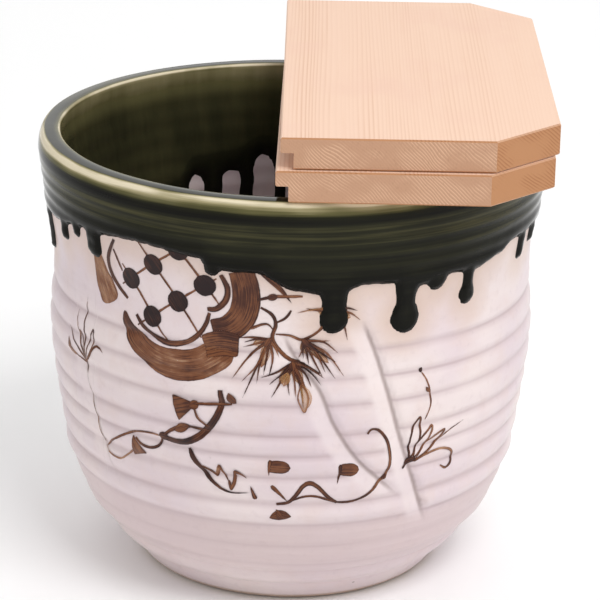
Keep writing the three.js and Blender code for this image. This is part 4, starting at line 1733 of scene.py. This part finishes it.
    def build(self) -> bpy.types.Object:
        """Makes every stroke.

        Returns:
            The object that holds them.
        """
        mesh = bmesh.new()
        layers = {name: mesh.verts.layers.float.new(name) for name in ("edge", "load", "run", "lane")}
        strokes = self.strokes()
        for order, (stroke, level) in enumerate(zip(strokes, self.levels(strokes))):
            self.lay(mesh, stroke, order, level, layers)
        for face in mesh.faces:
            face.normal_update()
            middle = face.calc_center_median()
            if face.normal.dot(Vector((middle.x, middle.y, 0.0))) < 0.0:
                face.normal_flip()
        return finish_mesh(mesh, "iron_brushwork")

    def dress(self, piece: bpy.types.Object) -> None:
        """Gives the strokes their paint and lets them ride on the jar."""
        piece.data.materials.append(IronPaint().build())
        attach(piece, "jar")


@dataclass
class LidBoards:
    """The two loose lid boards, which keep their CAD meshes."""

    upper_turn: float = math.radians(0.48)

    def dress(self) -> list[bpy.types.Object]:
        """Gives each board its own wood.

        Returns:
            The boards.
        """
        wood = PaleSoftwood()
        finishes = {
            "lid_half_lower": wood.build("lid_wood_lower", 1.0, 0.0),
            "lid_half_upper": wood.build("lid_wood_upper", 1.0, self.upper_turn),
        }
        boards = []
        for node, material in finishes.items():
            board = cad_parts[node]
            board.data.materials.clear()
            board.data.materials.append(material)
            boards.append(board)
        return boards


@dataclass(frozen=True)
class Lamp:
    """A soft rectangular lamp that faces the jar."""

    name: str
    place: tuple[float, float, float]
    size: tuple[float, float]
    power: float


@dataclass
class Studio:
    """Camera, lights, floor and world."""

    target: tuple[float, float, float] = (4.007 * MM, -0.352 * MM, 117.365 * MM)
    distance: float = 1305.475 * MM
    pitch: float = 19.913
    yaw: float = -0.554
    roll: float = 1.044
    focal_pixels: float = 2888.32
    image_pixels: float = 600.0
    sensor_width: float = 36.0
    clip: tuple[float, float] = (0.05, 50.0)
    lamp_aim: tuple[float, float, float] = (0.0, 0.0, 0.12)
    floor_size: float = 8.0
    surround: float = 0.48
    lamps: tuple[Lamp, ...] = (
        Lamp("high_key", (0.60, -0.95, 1.55), (0.9, 0.7), 15.5),
        Lamp("overhead", (0.0, 0.35, 1.90), (1.8, 1.8), 9.0),
        Lamp("left_fill", (-1.60, -0.90, 0.70), (0.8, 1.2), 3.5),
        Lamp("right_fill", (1.60, -0.50, 0.70), (0.8, 1.2), 3.5),
        Lamp("rim_light", (0.0, 1.55, 0.75), (2.4, 0.7), 5.0),
    )

    def camera(self) -> None:
        """Places the camera at the photograph's viewing angle."""
        pitch, yaw, roll = (math.radians(angle) for angle in (self.pitch, self.yaw, self.roll))
        level = Vector((math.sin(yaw), math.cos(yaw), 0.0)) * math.cos(pitch)
        forward = level - Vector((0.0, 0.0, math.sin(pitch)))
        right = forward.cross(Vector((0.0, 0.0, 1.0))).normalized()
        up = right.cross(forward)
        tilted_right = right * math.cos(roll) + up * math.sin(roll)
        tilted_up = up * math.cos(roll) - right * math.sin(roll)
        data = bpy.data.cameras.new("camera")
        data.sensor_width = self.sensor_width
        data.lens = self.focal_pixels / self.image_pixels * self.sensor_width
        data.clip_start, data.clip_end = self.clip
        made = stand("camera", data)
        axes = Matrix((tilted_right, tilted_up, -forward)).transposed()
        place = Vector(self.target) - forward * self.distance
        made.matrix_world = Matrix.Translation(place) @ axes.to_4x4()
        bpy.context.scene.camera = made

    def light(self, lamp: Lamp) -> None:
        """Adds one lamp.

        Args:
            lamp: the lamp.
        """
        data = bpy.data.lights.new(lamp.name, "AREA")
        data.shape = "RECTANGLE"
        data.size, data.size_y = lamp.size
        data.energy = lamp.power
        made = stand(lamp.name, data)
        made.location = lamp.place
        aim = Vector(self.lamp_aim) - Vector(lamp.place)
        made.rotation_euler = aim.to_track_quat("-Z", "Y").to_euler()

    def build(self) -> None:
        """Sets up the whole studio."""
        self.camera()
        for lamp in self.lamps:
            self.light(lamp)
        mesh = bmesh.new()
        bmesh.ops.create_grid(mesh, x_segments=1, y_segments=1, size=self.floor_size / 2)
        floor = finish_mesh(mesh, "floor", False)
        floor.data.materials.append(PlainBackdrop().build())
        self.world()

    def world(self) -> None:
        """An even pale surround."""
        world = bpy.data.worlds.new("soft_surround")
        bpy.context.scene.world = world
        world.use_nodes = True
        nodes, links = world.node_tree.nodes, world.node_tree.links
        nodes.clear()
        output = nodes.new("ShaderNodeOutputWorld")
        light = nodes.new("ShaderNodeBackground")
        light.inputs["Color"].default_value = (1.0, 1.0, 1.0, 1.0)
        light.inputs["Strength"].default_value = self.surround
        links.new(light.outputs[0], output.inputs["Surface"])
        bpy.context.scene.view_settings.view_transform = "Standard"


def main() -> None:
    """Builds the studio and the pieces in order."""
    logging.basicConfig(level=logging.INFO, format="%(name)s: %(message)s")
    Studio().build()
    form = JarForm()
    skin, coat = JarSkin(form, COLUMNS), GreenCoat(form, COLUMNS)
    for piece, glaze in ((skin, WhiteGlaze().build(form)), (coat, GreenGlaze().build())):
        made = piece.build()
        piece.dress(made, glaze)
        LOG.info("%s: %d points, %d faces", made.name, len(made.data.vertices), len(made.data.polygons))
    brushwork = Brushwork(skin)
    strokes = brushwork.build()
    brushwork.dress(strokes)
    LOG.info("brushwork: %d points", len(strokes.data.vertices))
    for board in LidBoards().dress():
        LOG.info("lid board: %s", board.name)


if __name__ == "__main__":
    main()
